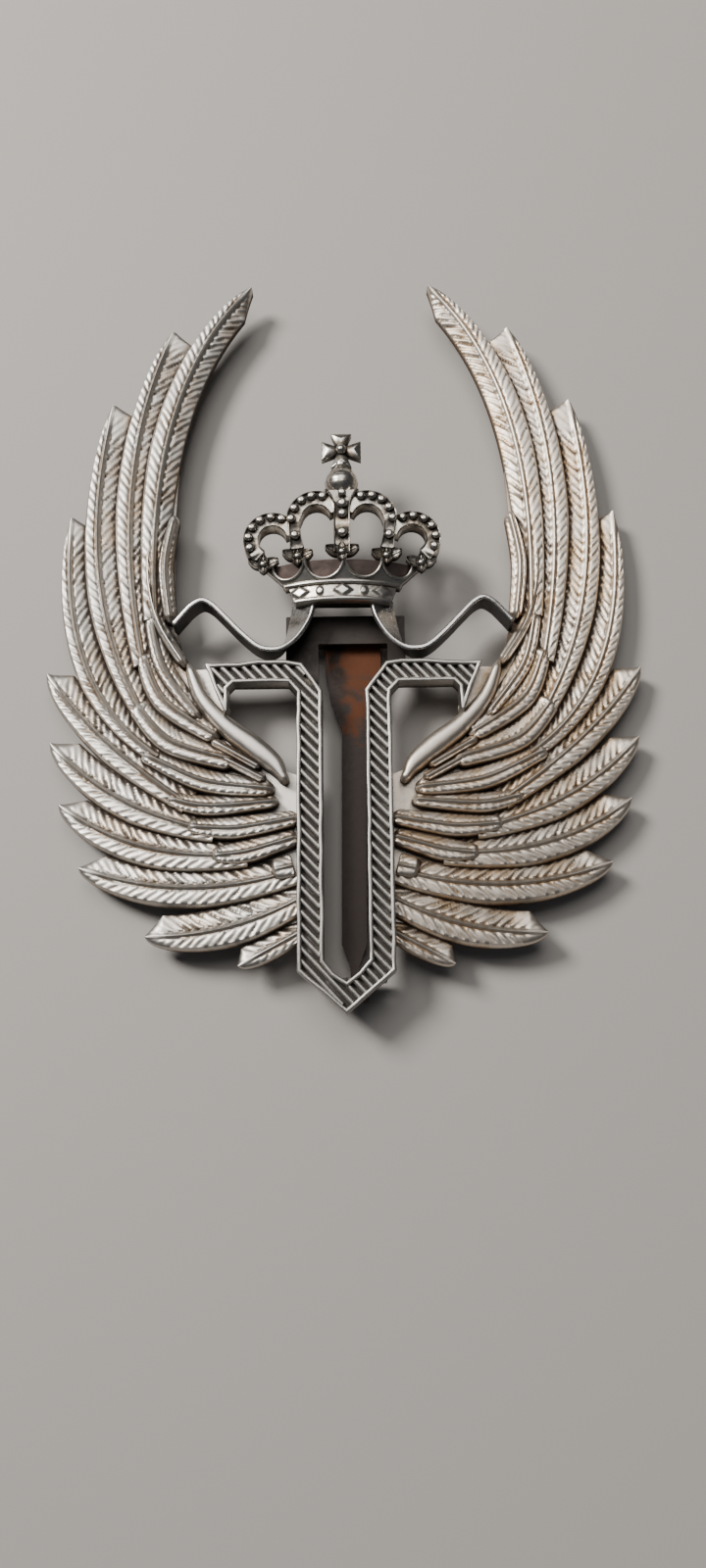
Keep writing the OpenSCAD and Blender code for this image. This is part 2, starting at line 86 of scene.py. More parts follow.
# Short feathers as rows of (x, y, width); the first is the smooth bent edge of the wing
SMOOTH_EDGE = [(14.6, -4.6, 0.9), (13.4, -7.6, 1.3), (11.2, -10.2, 1.6), (8.6, -12.3, 1.9), (6.6, -14, 1.6),
               (5.8, -15.2, 0.9)]
SHORT_FEATHERS = [
    [(16.6, 0.6, 1.1), (17.2, 6, 1.3), (16.5, 10.8, 0.9)],
    [(15.2, -4, 0.9), (17.6, 0, 1), (18.7, 4, 1), (18.9, 7.4, 0.9)],
    [(13.6, -9.2, 1.3), (17, -4.4, 1.6), (18.3, 0.3, 1.4)],
    [(12, -11.2, 1.9), (16.9, -7.6, 2.3), (18.9, -3.4, 1.7)],
    [(10.5, -13.6, 2), (16.2, -11.6, 2.4), (19.3, -8.3, 2)],
    [(7, -16.4, 1.6), (13, -15.5, 2), (18.3, -13, 1.5)],
    [(6.5, -17.6, 1.2), (12.5, -17.9, 1.8), (16, -17.2, 1.3)],
    [(4.6, -19.2, 1.4), (10, -20, 2), (14, -19.8, 1.4)],
    [(4.6, -21, 1.5), (9, -22.2, 2), (11.8, -22.5, 1.4)],
    [(4.8, -23.6, 2), (6.6, -24, 1.9)],
    [(8, -14.3, 0.9), (12.2, -11.8, 0.9)],
    [(7.5, -15.5, 0.9), (11.4, -13.3, 0.9)],
]
BACK_PLATE = [(4.4, -31), (4.4, -15), (7.5, -13.8), (11, -10.2), (10.8, -8.4), (13.1, -4.4), (15, -4.4), (16.4, 1),
              (16.5, 12), (16, 22), (14, 30), (18, 29), (22, 20), (23, 4), (21.5, -7), (19, -14.5), (14, -20.5),
              (8, -25.5)]


def dome(x, y):
    """Height of the badge's gently domed face."""
    return FACE_Z - 0.0030 * x * x - 0.0006 * (y + 5) ** 2


def bump_of(value, middle, half_width):
    """A smooth bump from 0 to 1 and back to 0 about a middle."""
    away = abs(value - middle) / half_width
    return 0.0 if away >= 1 else (1 - away * away) ** 2


def ramp(value, start, end):
    """Rises smoothly from 0 at start to 1 at end."""
    part = min(1.0, max(0.0, (value - start) / (end - start)))
    return part * part * (3 - 2 * part)


def barbs(along, side, pitch):
    """How deep the cut between two barbs is here, from 0 on a barb to 1 in the cut."""
    lean = (along - 1.25 * side + 0.3 * noise.noise(Vector((along * 0.9, pitch, 0)))) / pitch
    strength = 0.75 + 0.9 * noise.noise(Vector((math.floor(lean) * 0.83, pitch * 7, side)))
    return strength * bump_of(lean % 1.0, 0.5, 0.36)


def vane(along, share, width, pitch, depth):
    """Relief of a vane at a place along its shaft and a share of its width, as (height, tarnish and painted shade)."""
    side = abs(share) * width
    shaft = bump_of(side, 0, 0.24)
    shaft_cut = bump_of(side, 0.3, 0.13) * (1 if share > 0 else 0.6)
    cut = barbs(along, side, pitch)
    fine = 0.5 + 0.5 * math.cos(2 * math.pi * (along - 1.25 * side) / (pitch * 0.31))
    if share > 0:
        form = 0.1 * bump_of(share, 0.5, 0.62) - 0.62 * ramp(share, 0.74, 1.05) ** 1.5
        cut *= ramp(side, 0.2, 0.45) * (1 - ramp(share, 0.62, 0.88))
        fine *= ramp(side, 0.2, 0.45) * (1 - ramp(share, 0.6, 0.95))
        height = form - depth * 0.75 * cut - 0.025 * fine
        # Outer vane: tarnish in the barb cuts, and the drop at its outer edge darkened as painted shade under the step.
        tarnish_and_shade = max(0.85 * cut, 0.2 * fine, 0.75 * ramp(share, 0.84, 1.0))
    else:
        form = -0.14 - 0.45 * abs(share) ** 1.4
        cut *= ramp(side, 0.16, 0.35)
        height = form - depth * 1.15 * cut - 0.02 * fine
        # Inner vane, tucked under its neighbour: darker all over and darkest at its edge as painted shade, with tarnish
        # in the barb cuts.
        tarnish_and_shade = max(0.38 + 0.55 * cut, 0.25 * fine, ramp(abs(share), 0.75, 1.0))
    height += 0.16 * shaft - 0.1 * shaft_cut
    tarnish_and_shade = max(tarnish_and_shade * (1 - ramp(shaft, 0.15, 0.6)), 0.9 * shaft_cut)
    return height, tarnish_and_shade


def lay_sheet(bm, along_count, across_count, place):
    """Adds a closed leaf whose face is a grid moved by place(t, share) -> (point, underside z, tarnish and painted
    shade).
    """
    grid = bmesh.ops.create_grid(bm, x_segments=along_count, y_segments=across_count, size=1)["verts"]
    tarnish_and_shade = bm.verts.layers.float["tarnish_and_shade"]
    under = bm.verts.layers.float["under"]
    for v in grid:
        t = (v.co.x + 1) / 2
        share = math.copysign(abs(v.co.y) ** 1.3, v.co.y)
        point, low, dark = place(t, share)
        v.co = point
        v[under] = low
        v[tarnish_and_shade] = dark
    rim = list({e for v in grid for e in v.link_edges if e.is_boundary})
    skirt = bmesh.ops.extrude_edge_only(bm, edges=rim)["geom"]
    # The side walls get the full value: painted shade on the steps between overlapping pieces, along with tarnish.
    for v in skirt:
        if isinstance(v, bmesh.types.BMVert):
            v.co.z = v[under]
            v[tarnish_and_shade] = 1.0
    base = [e for e in skirt if isinstance(e, bmesh.types.BMEdge) and e.is_boundary]
    sole = bmesh.ops.holes_fill(bm, edges=base)["faces"]
    bmesh.ops.triangulate(bm, faces=sole, ngon_method="EAR_CLIP")


def flight_feather(bm, root, bend, tip, inner, outer, lift, tip_cut):
    root, bend, tip = Vector(root), Vector(bend), Vector(tip)
    length = (bend - root).length * 0.5 + (tip - bend).length * 0.5 + (tip - root).length * 0.5

    def place(t, share):
        t = min(t, 0.996)
        mid = (1 - t) ** 2 * root + 2 * t * (1 - t) * bend + t * t * tip
        way = ((1 - t) * (bend - root) + t * (tip - bend)).normalized()
        left = length * (1 - t)
        inner_w = inner * (0.75 + 0.25 * min(1, 3 * t)) * min(1, (left + 0.08) / tip_cut)
        outer_w = outer * (0.7 + 0.3 * min(1, 2.5 * t)) * math.sqrt(1 - max(0, (t - 0.3) / 0.7) ** 2.5)
        width = outer_w if share > 0 else inner_w
        x, y = mid + Vector((way.y, -way.x)) * share * width
        height, tarnish_and_shade = vane(length * t, share, width, 0.95, 0.14)
        polish = ramp(left, 3.4, 0.8)
        crest = dome(*mid) + lift
        low = dome(*mid) - (1.9 - 0.7 * t)
        calm = 0.1 * bump_of(share, 0.3, 1.0) - 0.35 * abs(share) ** 3
        height = height * (1 - 0.75 * polish) + calm * 0.75 * polish
        return Vector((x, y, crest + height)), low, tarnish_and_shade * (1 - 0.7 * polish)

    lay_sheet(bm, round(length / GRAIN), 24, place)


def on_row(row, t):
    """A point (x, y, width) on a smooth curve through a row of them, and the curve's way there."""
    pieces = len(row) - 1
    k = min(int(t * pieces), pieces - 1)
    u = t * pieces - k
    a, b, c, d = (Vector(row[min(max(i, 0), pieces)]) for i in (k - 1, k, k + 1, k + 2))
    point = 0.5 * (2 * b + (c - a) * u + (2 * a - 5 * b + 4 * c - d) * u * u + (3 * b - a - 3 * c + d) * u ** 3)
    way = 0.5 * ((c - a) + 2 * (2 * a - 5 * b + 4 * c - d) * u + 3 * (3 * b - a - 3 * c + d) * u * u)
    return point, Vector((way.x, way.y)).normalized()


def short_feather(bm, row, smooth, order):
    length = sum((Vector(b[:2]) - Vector(a[:2])).length for a, b in zip(row, row[1:]))

    def place(t, share):
        reach = -0.04 + 1.1 * t
        point, way = on_row(row, min(max(reach, 0), 1))
        beyond = (reach - min(max(reach, 0), 1)) * length
        end = min(t / 0.12, 1) if t < 0.5 else min((1 - t) * length / 0.75, 1)
        width = 0.56 * point.z * (0.25 + 0.75 * math.sqrt(max(0, 1 - (1 - end) ** 2)))
        x = point.x + way.x * beyond + way.y * share * width
        y = point.y + way.y * beyond - way.x * share * width
        if smooth:
            height, tarnish_and_shade = 0.22 * (1 - share * share) - 0.5 * abs(share) ** 4, 0.35 * ramp(share, 0.2, 1)
        else:
            height, tarnish_and_shade = vane(length * t + 0.37 * order, share, width, 0.62, 0.085)
            polish = ramp((1 - t) * length, 1.5, 0.3)
            height = height * (1 - 0.6 * polish) - 0.3 * abs(share) ** 3 * polish
            tarnish_and_shade *= 1 - 0.7 * polish
        close = 0.5 * (1 - min(1, end * 1.6)) ** 2
        z = dome(x, y) + 0.22 + height - close
        return Vector((x, y, z)), dome(x, y) - 1.3, tarnish_and_shade

    lay_sheet(bm, max(24, round(length * 1.1 / GRAIN)), 18, place)


def outline_face(bm, outline, z):
    """One flat face of the given outline, as (its corners, the face in a list)."""
    ring = [bm.verts.new((x, y, z)) for x, y in outline]
    sides = [bm.edges.new(pair) for pair in zip(ring, ring[1:] + ring[:1])]
    return ring, bmesh.ops.edgeloop_fill(bm, edges=sides)["faces"]


def flat_plate(bm, outline, low, high):
    """A flat plate of the given outline, with its edges broken."""
    ring, sole = outline_face(bm, outline, low)
    top = bmesh.ops.extrude_face_region(bm, geom=sole, use_keep_orig=True)["geom"]
    raised = [v for v in top if isinstance(v, bmesh.types.BMVert)]
    bmesh.ops.translate(bm, vec=(0, 0, high - low), verts=raised)
    edges = [e for v in ring for e in v.link_edges if e.calc_face_angle(0) > 0.8]
    bmesh.ops.bevel(bm, geom=list(set(edges)), offset=0.12, segments=2, profile=0.5, affect="EDGES", material=-1)


def settle_tarnish_and_paint_shade(bm, reach):
    """Writes how shut in each point is, from 0 in the open to 1 deep in a corner or facing down, as tarnish in the
    hollows and painted shade in corners, between parts and under overhangs.
    """
    tree = BVHTree.FromBMesh(bm)
    shut_in_tarnish_and_shade = bm.verts.layers.float["shut_in_tarnish_and_shade"]
    bm.normal_update()
    fan = [Vector((math.cos(a) * 0.8, math.sin(a) * 0.8, 0.6)) for a in (k * math.tau / 6 for k in range(6))]
    fan += [Vector((math.cos(a) * 0.45, math.sin(a) * 0.45, 0.9)) for a in (0.5 + k * math.tau / 4 for k in range(4))]
    for v in bm.verts:
        turn = Vector((0, 0, 1)).rotation_difference(v.normal)
        start = v.co + v.normal * 0.02
        shut = 0.0
        for ray in fan:
            distance = tree.ray_cast(start, turn @ ray, reach)[3]
            if distance is not None:
                shut += 1 - distance / reach
        # Down-facing points count as shut in too: painted shade under overhangs.
        v[shut_in_tarnish_and_shade] = min(1.0, shut / 5.5 + 0.6 * ramp(v.normal.z, 0.4, -0.1))


def start_piece():
    bm = bmesh.new()
    for layer in ("tarnish_and_shade", "shut_in_tarnish_and_shade", "under"):
        bm.verts.layers.float.new(layer)
    return bm


def finish_piece(name, bm, material, body, nodes, sharp=38, reach=1.6):
    """Brings a piece drawn in millimetres to its real size on the badge and fixes it to its body."""
    bmesh.ops.remove_doubles(bm, verts=bm.verts, dist=0.0008)
    bmesh.ops.recalc_face_normals(bm, faces=bm.faces)
    settle_tarnish_and_paint_shade(bm, reach)
    mesh = bpy.data.meshes.new(name)
    bmesh.ops.scale(bm, vec=(MM, MM, MM), verts=bm.verts)
    bm.to_mesh(mesh)
    bm.free()
    mesh.shade_smooth()
    mesh.set_sharp_from_angle(angle=math.radians(sharp))
    mesh.materials.append(material)
    piece = bpy.data.objects.new(name, mesh)
    bpy.context.scene.collection.objects.link(piece)
    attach(piece, body)
    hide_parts(*nodes)
    return piece


def silver_tarnish_and_shade_group():
    """Old silver: polished where hands reach, dull and dark where the tarnish settles and where shade is painted into
    hollows, steps and down-facing sides.
    """
    group = bpy.data.node_groups.new("silver with tarnish and painted shade", "ShaderNodeTree")
    face = group.interface
    for name, kind, start in (
        ("Bright", "NodeSocketColor", (0.8, 0.77, 0.72, 1)), ("Dark", "NodeSocketColor", (0.05, 0.035, 0.025, 1)),
        ("Warm", "NodeSocketColor", (0.6, 0.48, 0.33, 1)), ("Warmth", "NodeSocketFloat", 0.3),
        ("Tarnish and shade", "NodeSocketFloat", 1.0), ("Polish", "NodeSocketFloat", 0.34),
        ("Bare metal", "NodeSocketFloat", 1.0),
    ):
        face.new_socket(name, in_out="INPUT", socket_type=kind).default_value = start
    for name, kind in (("Color", "NodeSocketColor"), ("Roughness", "NodeSocketFloat"),
                       ("Metallic", "NodeSocketFloat"), ("Height", "NodeSocketFloat")):
        face.new_socket(name, in_out="OUTPUT", socket_type=kind)
    nodes, links = group.nodes, group.links
    given, out = nodes.new("NodeGroupInput"), nodes.new("NodeGroupOutput")

    def add(kind, **settings):
        node = nodes.new(kind)
        for key, value in settings.items():
            setattr(node, key, value)
        return node

    def maths(operation, first, second=None, third=None, clamp=False):
        node = add("ShaderNodeMath", operation=operation, use_clamp=clamp)
        for socket, value in zip(node.inputs, (first, second, third)):
            if isinstance(value, (int, float)):
                socket.default_value = value
            elif value is not None:
                links.new(value, socket)
        return node.outputs[0]

    def spread(value, low, high, to_low=0.0, to_high=1.0):
        node = add("ShaderNodeMapRange", interpolation_type="SMOOTHSTEP")
        links.new(value, node.inputs["Value"])
        for name, number in (("From Min", low), ("From Max", high), ("To Min", to_low), ("To Max", to_high)):
            node.inputs[name].default_value = number
        return node.outputs["Result"]

    def mix(factor, first, second):
        node = add("ShaderNodeMix", data_type="RGBA")
        links.new(factor, node.inputs["Factor"])
        links.new(first, node.inputs["A"])
        links.new(second, node.inputs["B"])
        return node.outputs["Result"]

    place = add("ShaderNodeTexCoord").outputs["Object"]

    def grain(scale, detail, rough=0.55):
        node = add("ShaderNodeTexNoise")
        links.new(place, node.inputs["Vector"])
        node.inputs["Scale"].default_value = scale
        node.inputs["Detail"].default_value = detail
        node.inputs["Roughness"].default_value = rough
        return node.outputs["Fac"]

    tarnish_and_shade = add("ShaderNodeAttribute", attribute_name="tarnish_and_shade").outputs["Fac"]
    shut_in_tarnish_and_shade = add("ShaderNodeAttribute", attribute_name="shut_in_tarnish_and_shade").outputs["Fac"]
    cloud, speck, fine = grain(260, 3), grain(2600, 4, 0.65), grain(9000, 2)
    # Tarnish in the hollows and cuts, plus painted shade in corners, on steps and under overhangs, both darken the
    # silver.
    tarnish_and_shade_amount = maths("ADD", maths("MULTIPLY", shut_in_tarnish_and_shade, 0.95), maths("MULTIPLY", tarnish_and_shade, 0.62))
    uneven = maths("MULTIPLY", maths("SUBTRACT", speck, 0.5), 0.5)
    tarnish_and_shade_amount = maths("ADD", tarnish_and_shade_amount, uneven)
    tarnish_and_shade_amount = maths("MULTIPLY", tarnish_and_shade_amount, given.outputs["Tarnish and shade"])
    dark = spread(tarnish_and_shade_amount, 0.3, 1.0)
    tan = maths("MULTIPLY", spread(tarnish_and_shade_amount, 0.05, 0.5), spread(cloud, 0.36, 0.62), clamp=True)
    tan = maths("MULTIPLY", tan, given.outputs["Warmth"], clamp=True)
    color = mix(tan, given.outputs["Bright"], given.outputs["Warm"])
    color = mix(dark, color, given.outputs["Dark"])
    links.new(color, out.inputs["Color"])
    rough = maths("ADD", given.outputs["Polish"], maths("MULTIPLY", dark, 0.3))
    rough = maths("ADD", rough, maths("MULTIPLY", maths("SUBTRACT", speck, 0.5), 0.3), clamp=True)
    links.new(rough, out.inputs["Roughness"])
    metal = maths("MULTIPLY", spread(dark, 0.2, 1.0, 1.0, 0.35), given.outputs["Bare metal"])
    links.new(metal, out.inputs["Metallic"])
    links.new(maths("ADD", maths("MULTIPLY", speck, 0.6), maths("MULTIPLY", fine, 0.4)), out.inputs["Height"])
    return group


SILVER_TARNISH_AND_SHADE = silver_tarnish_and_shade_group()


def silver(name, bright, dark, warm, warmth, tarnish_and_shade_scale=1.0, polish=0.34, bare=1.0):
    material = bpy.data.materials.new(name)
    material.use_nodes = True
    nodes, links = material.node_tree.nodes, material.node_tree.links
    shader = nodes["Principled BSDF"]
    finish = nodes.new("ShaderNodeGroup")
    finish.node_tree = SILVER_TARNISH_AND_SHADE
    for key, value in (("Bright", (*bright, 1)), ("Dark", (*dark, 1)), ("Warm", (*warm, 1)), ("Warmth", warmth),
                       ("Tarnish and shade", tarnish_and_shade_scale), ("Polish", polish), ("Bare metal", bare)):
        finish.inputs[key].default_value = value
    for key, socket in (("Color", "Base Color"), ("Roughness", "Roughness"), ("Metallic", "Metallic")):
        links.new(finish.outputs[key], shader.inputs[socket])
    bump = nodes.new("ShaderNodeBump")
    bump.inputs["Distance"].default_value = 0.02 * MM
    bump.inputs["Strength"].default_value = 0.6
    links.new(finish.outputs["Height"], bump.inputs["Height"])
    links.new(bump.outputs["Normal"], shader.inputs["Normal"])
    return material


def mirrored_piece(name, piece, material, body, nodes):
    """The same piece for the other side of the badge."""
    bm = bmesh.new()
    bm.from_mesh(piece.data)
    bmesh.ops.scale(bm, vec=(-1, 1, 1), verts=bm.verts)
    bmesh.ops.reverse_faces(bm, faces=bm.faces)
    mesh = bpy.data.meshes.new(name)
    bm.to_mesh(mesh)
    bm.free()
    mesh.materials.append(material)
    other = bpy.data.objects.new(name, mesh)
    bpy.context.scene.collection.objects.link(other)
    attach(other, body)
    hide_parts(*nodes)
    return other


silver_left = silver("silver of the left wing", (0.54, 0.51, 0.47), (0.05, 0.036, 0.026), (0.38, 0.28, 0.19), 0.8, 1.0, 0.44)
silver_right = silver("silver of the right wing", (0.68, 0.61, 0.53), (0.075, 0.048, 0.03), (0.54, 0.38, 0.23), 0.9, 0.95, 0.44)
wing = start_piece()
for feather in FLIGHT_FEATHERS:
    flight_feather(wing, *feather)
short_feather(wing, SMOOTH_EDGE, True, 0)
for order, row in enumerate(SHORT_FEATHERS):
    short_feather(wing, row, False, order)
# The root ends are cut off flush with the frame's upright
everything = wing.verts[:] + wing.edges[:] + wing.faces[:]
bmesh.ops.bisect_plane(wing, geom=everything, plane_co=(4.35, 0, 0), plane_no=(-1, 0, 0), clear_outer=True)
bmesh.ops.holes_fill(wing, edges=[e for e in wing.edges if e.is_boundary])
cast = set(wing.verts)
flat_plate(wing, BACK_PLATE, 2.9, 3.65)
for v in set(wing.verts) - cast:
    v.co.z += dome(v.co.x, v.co.y) - FACE_Z
bmesh.ops.scale(wing, vec=(WING_SPREAD, 1, 1), verts=wing.verts)
right_wing = finish_piece("right_wing_feathers", wing, silver_right, "badge", ["right_wing"])
mirrored_piece("left_wing_feathers", right_wing, silver_left, "badge", ["left_wing"])


# ---- Centre frame -------------------------------------------------------------------------------
# One bent silver bar: two uprights that meet in a point below, each with an arm at the top. Raised,
# polished rims follow its edges, and the channel between them is crossed by slanting ribs. It is
# soldered to the roots of both wings.
FRAME_BACK = 3.0
CHANNEL_Z = 4.55
RIM_TOP = 5.15
RIM_WIDTH = 0.4
RIB_STEP = 0.74
RIB_TURN = math.radians(-47)
FRAME_HALF = [(1.1, -33.3), (2, -32.2), (2, -7.2), (3.9, -4.42), (5.4, -4.2), (8, -4.2), (9.8, -4.42), (13, -4.42),
              (11.1, -9.3), (10.8, -9.1), (10.8, -6.9), (10.3, -6.4), (5.2, -6.4), (4.4, -7.3), (4.4, -33.2)]


def inset_corner(sides, k, inset):
    """The corner where side k starts, moved in from both its sides; a side too short is passed over."""
    lines = []
    for step, side in ((-1, k - 1), (1, k)):
        while (sides[side % len(sides)][1] - sides[side % len(sides)][0]).length < inset:
            side += step
        a, b = sides[side % len(sides)]
        way = (b - a).normalized()
        shift = Vector((way.y, -way.x)) * inset
        lines += [(a + shift).to_3d(), (b + shift).to_3d()]
    return intersect_line_line(*lines)[0].xy


def crossings(outline, start, way):
    """Distances along a line at which it crosses the outline."""
    found = []
    across = Vector((-way.y, way.x))
    for a, b in zip(outline, outline[1:] + outline[:1]):
        side_a, side_b = (a - start).dot(across), (b - start).dot(across)
        if (side_a < 0) != (side_b < 0):
            hit = a.lerp(b, side_a / (side_a - side_b))
            found.append((hit - start).dot(way))
    return sorted(found)


def channel_rib(bm, start, end, width, low, high):
    """A low rib with a rounded back between two points."""
    middle, way = (start + end) / 2, end - start
    rib = bmesh.ops.create_cube(bm, size=1)["verts"]
    bmesh.ops.scale(bm, vec=(way.length, width, high - low), verts=rib)
    backs = [e for e in {e for v in rib for e in v.link_edges}
             if all(v.co.z > 0 for v in e.verts) and abs(e.verts[0].co.y - e.verts[1].co.y) < 0.01]
    rounded = bmesh.ops.bevel(bm, geom=backs, offset=0.42 * width, segments=3, profile=0.5, affect="EDGES",
                              material=-1)["verts"]
    turn = Matrix.Rotation(math.atan2(way.y, way.x), 4, "Z")
    place = Matrix.Translation((middle.x, middle.y, (low + high) / 2)) @ turn
    bmesh.ops.transform(bm, matrix=place, verts=list({v for v in rib if v.is_valid} | set(rounded)))


frame_bm = start_piece()
corners = [Vector(p) for p in [(0, -34.1)] + FRAME_HALF + [(0, -36.95)]]
corners += [Vector((-c.x, c.y)) for c in reversed(corners[1:-1])]
sides = list(zip(corners, corners[1:] + corners[:1]))
inset = [inset_corner(sides, k, RIM_WIDTH) for k in range(len(sides))]
outer_line, inner_line = [], []
for k, (a, b) in enumerate(sides):
    parts = max(1, round((b - a).length / 0.9))
    outer_line += [a.lerp(b, part / parts) for part in range(parts)]
    inner_line += [inset[k].lerp(inset[(k + 1) % len(inset)], part / parts) for part in range(parts)]
outer_ring = [frame_bm.verts.new((*p, RIM_TOP)) for p in outer_line]
inner_ring = [frame_bm.verts.new((*p, RIM_TOP)) for p in inner_line]
for a, b, c, d in zip(outer_ring, outer_ring[1:] + outer_ring[:1], inner_ring[1:] + inner_ring[:1], inner_ring):
    frame_bm.faces.new((a, b, c, d))
bmesh.ops.remove_doubles(frame_bm, verts=inner_ring, dist=0.001)
outside = set(outer_ring)
for edges, low in (([e for e in frame_bm.edges if e.is_boundary and outside.issuperset(e.verts)], FRAME_BACK),
                   ([e for e in frame_bm.edges if e.is_boundary and outside.isdisjoint(e.verts)], CHANNEL_Z)):
    wall = bmesh.ops.extrude_edge_only(frame_bm, edges=edges)["geom"]
    for v in wall:
        if isinstance(v, bmesh.types.BMVert):
            v.co.z = low
    feet = [e for e in wall if isinstance(e, bmesh.types.BMEdge) and max(v.co.z for v in e.verts) < low + 0.01]
    bmesh.ops.triangle_fill(frame_bm, edges=feet, use_beauty=True)
rims = [e for e in frame_bm.edges
        if min(v.co.z for v in e.verts) > RIM_TOP - 0.01 and e.calc_face_angle(0) > 0.9]
bmesh.ops.bevel(frame_bm, geom=rims, offset=0.15, segments=3, profile=0.5, affect="EDGES", material=-1)
for v in frame_bm.verts:
    if v.co.z > CHANNEL_Z + 0.05:
        wave = noise.noise_vector(v.co * 0.55)
        v.co += Vector((wave.x * 0.09, wave.y * 0.09, wave.z * 0.05))
way = Vector((math.cos(RIB_TURN), math.sin(RIB_TURN)))
for k in range(-60, 60):
    start = Vector((0, -17)) + Vector((-way.y, way.x)) * RIB_STEP * k
    cuts = crossings(inner_line, start, way)
    for near, far in zip(cuts[::2], cuts[1::2]):
        if far - near > 0.5:
            wobble = 0.06 * noise.noise(Vector((k * 0.7, near, 0)))
            channel_rib(frame_bm, start + way * (near - 0.1), start + way * (far + 0.1), 0.5 + wobble,
                        CHANNEL_Z - 0.1, CHANNEL_Z + 0.42 + wobble)
# The ribs' backs are rubbed bright from rim to rim, though their ends are buried in the rims
for v in frame_bm.verts:
    rib_back = ramp(v.co.z, CHANNEL_Z + 0.15, CHANNEL_Z + 0.35) * (v.co.z < RIM_TOP - 0.08)
    v[frame_bm.verts.layers.float["tarnish_and_shade"]] = ramp(v.co.z, CHANNEL_Z + 0.3, CHANNEL_Z) - 1.2 * rib_back
silver_frame = silver("silver of the frame", (0.46, 0.44, 0.41), (0.04, 0.032, 0.026), (0.34, 0.27, 0.2), 0.6, 0.8, 0.4)
finish_piece("centre_frame_bar", frame_bm, silver_frame, "badge", ["centre_frame"], reach=0.5)


# ---- Ribbons ------------------------------------------------------------------------------------
# Two strips of silver sheet bent into a wave. Each starts under the crown's band, leans back as it
# runs down to the arm it is soldered to, then stands on edge up and over to the wing.
RIBBON_WIDTH = 3.0
RIBBON_GAUGE = 0.5
RIBBON_ROUTE = [(3.8, 1.7, 5, 35), (4.1, 0.2, 4.9, 42), (4.9, -1.6, 4.7, 60), (5.8, -2.7, 4.55, 78),
                (6.8, -3.1, 4.5, 90), (7.9, -2.8, 4.5, 90), (9.4, -1.5, 4.5, 90), (11, 0.2, 4.5, 90),
                (12.2, 1.4, 4.5, 90), (13.3, 1.9, 4.5, 90), (14.4, 1.4, 4.4, 90), (15.5, 0.3, 4.2, 90),
                (16.2, -0.5, 4.1, 90)]
ribbon = start_piece()
strip = bmesh.ops.create_grid(ribbon, x_segments=150, y_segments=10, size=1)["verts"]
for v in strip:
    t, across = (v.co.x + 1) / 2, v.co.y
    point, way = on_row(RIBBON_ROUTE, t)
    lean = math.radians(on_row([(p[3], 0, 0) for p in RIBBON_ROUTE], t)[0].x)
    wide = Vector((way.y * math.cos(lean), -way.x * math.cos(lean), math.sin(lean)))
    v.co = Vector(point[:3]) + wide * across * (RIBBON_WIDTH / 2 - RIBBON_GAUGE / 4)
bmesh.ops.recalc_face_normals(ribbon, faces=ribbon.faces)
bmesh.ops.solidify(ribbon, geom=ribbon.faces[:], thickness=RIBBON_GAUGE)
shut = [e for e in ribbon.edges if e.calc_face_angle(0) > 1.0]
bmesh.ops.bevel(ribbon, geom=shut, offset=0.16, segments=3, profile=0.5, affect="EDGES", material=-1)
ribbon.normal_update()
# Faces turned away from straight up are painted dark: painted shade on the strip's sides and under its lean.
for v in ribbon.verts:
    v[ribbon.verts.layers.float["tarnish_and_shade"]] = 1.3 * ramp(v.normal.z, 0.5, 0.15)
silver_ribbon = silver("silver of the ribbons", (0.6, 0.585, 0.56), (0.035, 0.03, 0.027), (0.4, 0.32, 0.24), 0.3, 1.3, 0.28)
right_ribbon = finish_piece("ribbon_right_strip", ribbon, silver_ribbon, "badge", ["ribbon_right"])
mirrored_piece("ribbon_left_strip", right_ribbon, silver_ribbon, "badge", ["ribbon_left"])


# ---- Crown: band, panel and lining --------------------------------------------------------------
# The crown's foot is one bent silver strip: two rounded rims with lozenges and studs between them,
# and above them a flaring panel cut out in four scallops, each edged with wire. A thin brown lining
# shows in the scallops.
BAND_RADIUS = 12
BAND_AXIS_Z = 6.6 - BAND_RADIUS
SCALLOPS = [(-5.15, 5.1, 1.5), (-1.7, 5.2, 1.85), (2, 5.2, 1.75), (5.2, 5.1, 1.45)]


def band_z(x, extra=0.0):
    """Height of the bent band's front at a distance from its middle."""
    return BAND_AXIS_Z + math.sqrt((BAND_RADIUS + extra) ** 2 - x * x)


def panel_z(x, y):
    return band_z(x, 0.8 * (y - 3.3) / 1.7)


def sweep(bm, path, ring, up=(0, 0, 1), grow=None):
    """Draws a closed ring of (side, height) points along a path; grow widens the ring at each point."""
    path = [Vector(p) for p in path]
    grow = grow or [1.0] * len(path)

    def stand(k):
        way = (path[min(k + 1, len(path) - 1)] - path[max(k - 1, 0)]).normalized()
        side = way.cross(Vector(up)).normalized()
        axes = Matrix((side * grow[k], side.cross(way), way)).transposed()
        return Matrix.Translation(path[k]) @ axes.to_4x4()

    verts = [bm.verts.new(stand(0) @ Vector((u, w, 0))) for u, w in ring]
    edges = [bm.edges.new((a, b)) for a, b in zip(verts, verts[1:] + verts[:1])]
    first = list(edges)
    for k in range(1, len(path)):
        grown = bmesh.ops.extrude_edge_only(bm, edges=edges)["geom"]
        edges = [e for e in grown if isinstance(e, bmesh.types.BMEdge) and len(e.link_faces) == 1]
        moved = [v for v in grown if isinstance(v, bmesh.types.BMVert)]
        bmesh.ops.transform(bm, matrix=stand(k) @ stand(k - 1).inverted(), verts=moved)
    bmesh.ops.contextual_create(bm, geom=first)
    bmesh.ops.contextual_create(bm, geom=edges)


def round_ring(radius, points=10):
    turns = (k * math.tau / points for k in range(points))
    return [(radius * math.cos(a), radius * math.sin(a)) for a in turns]


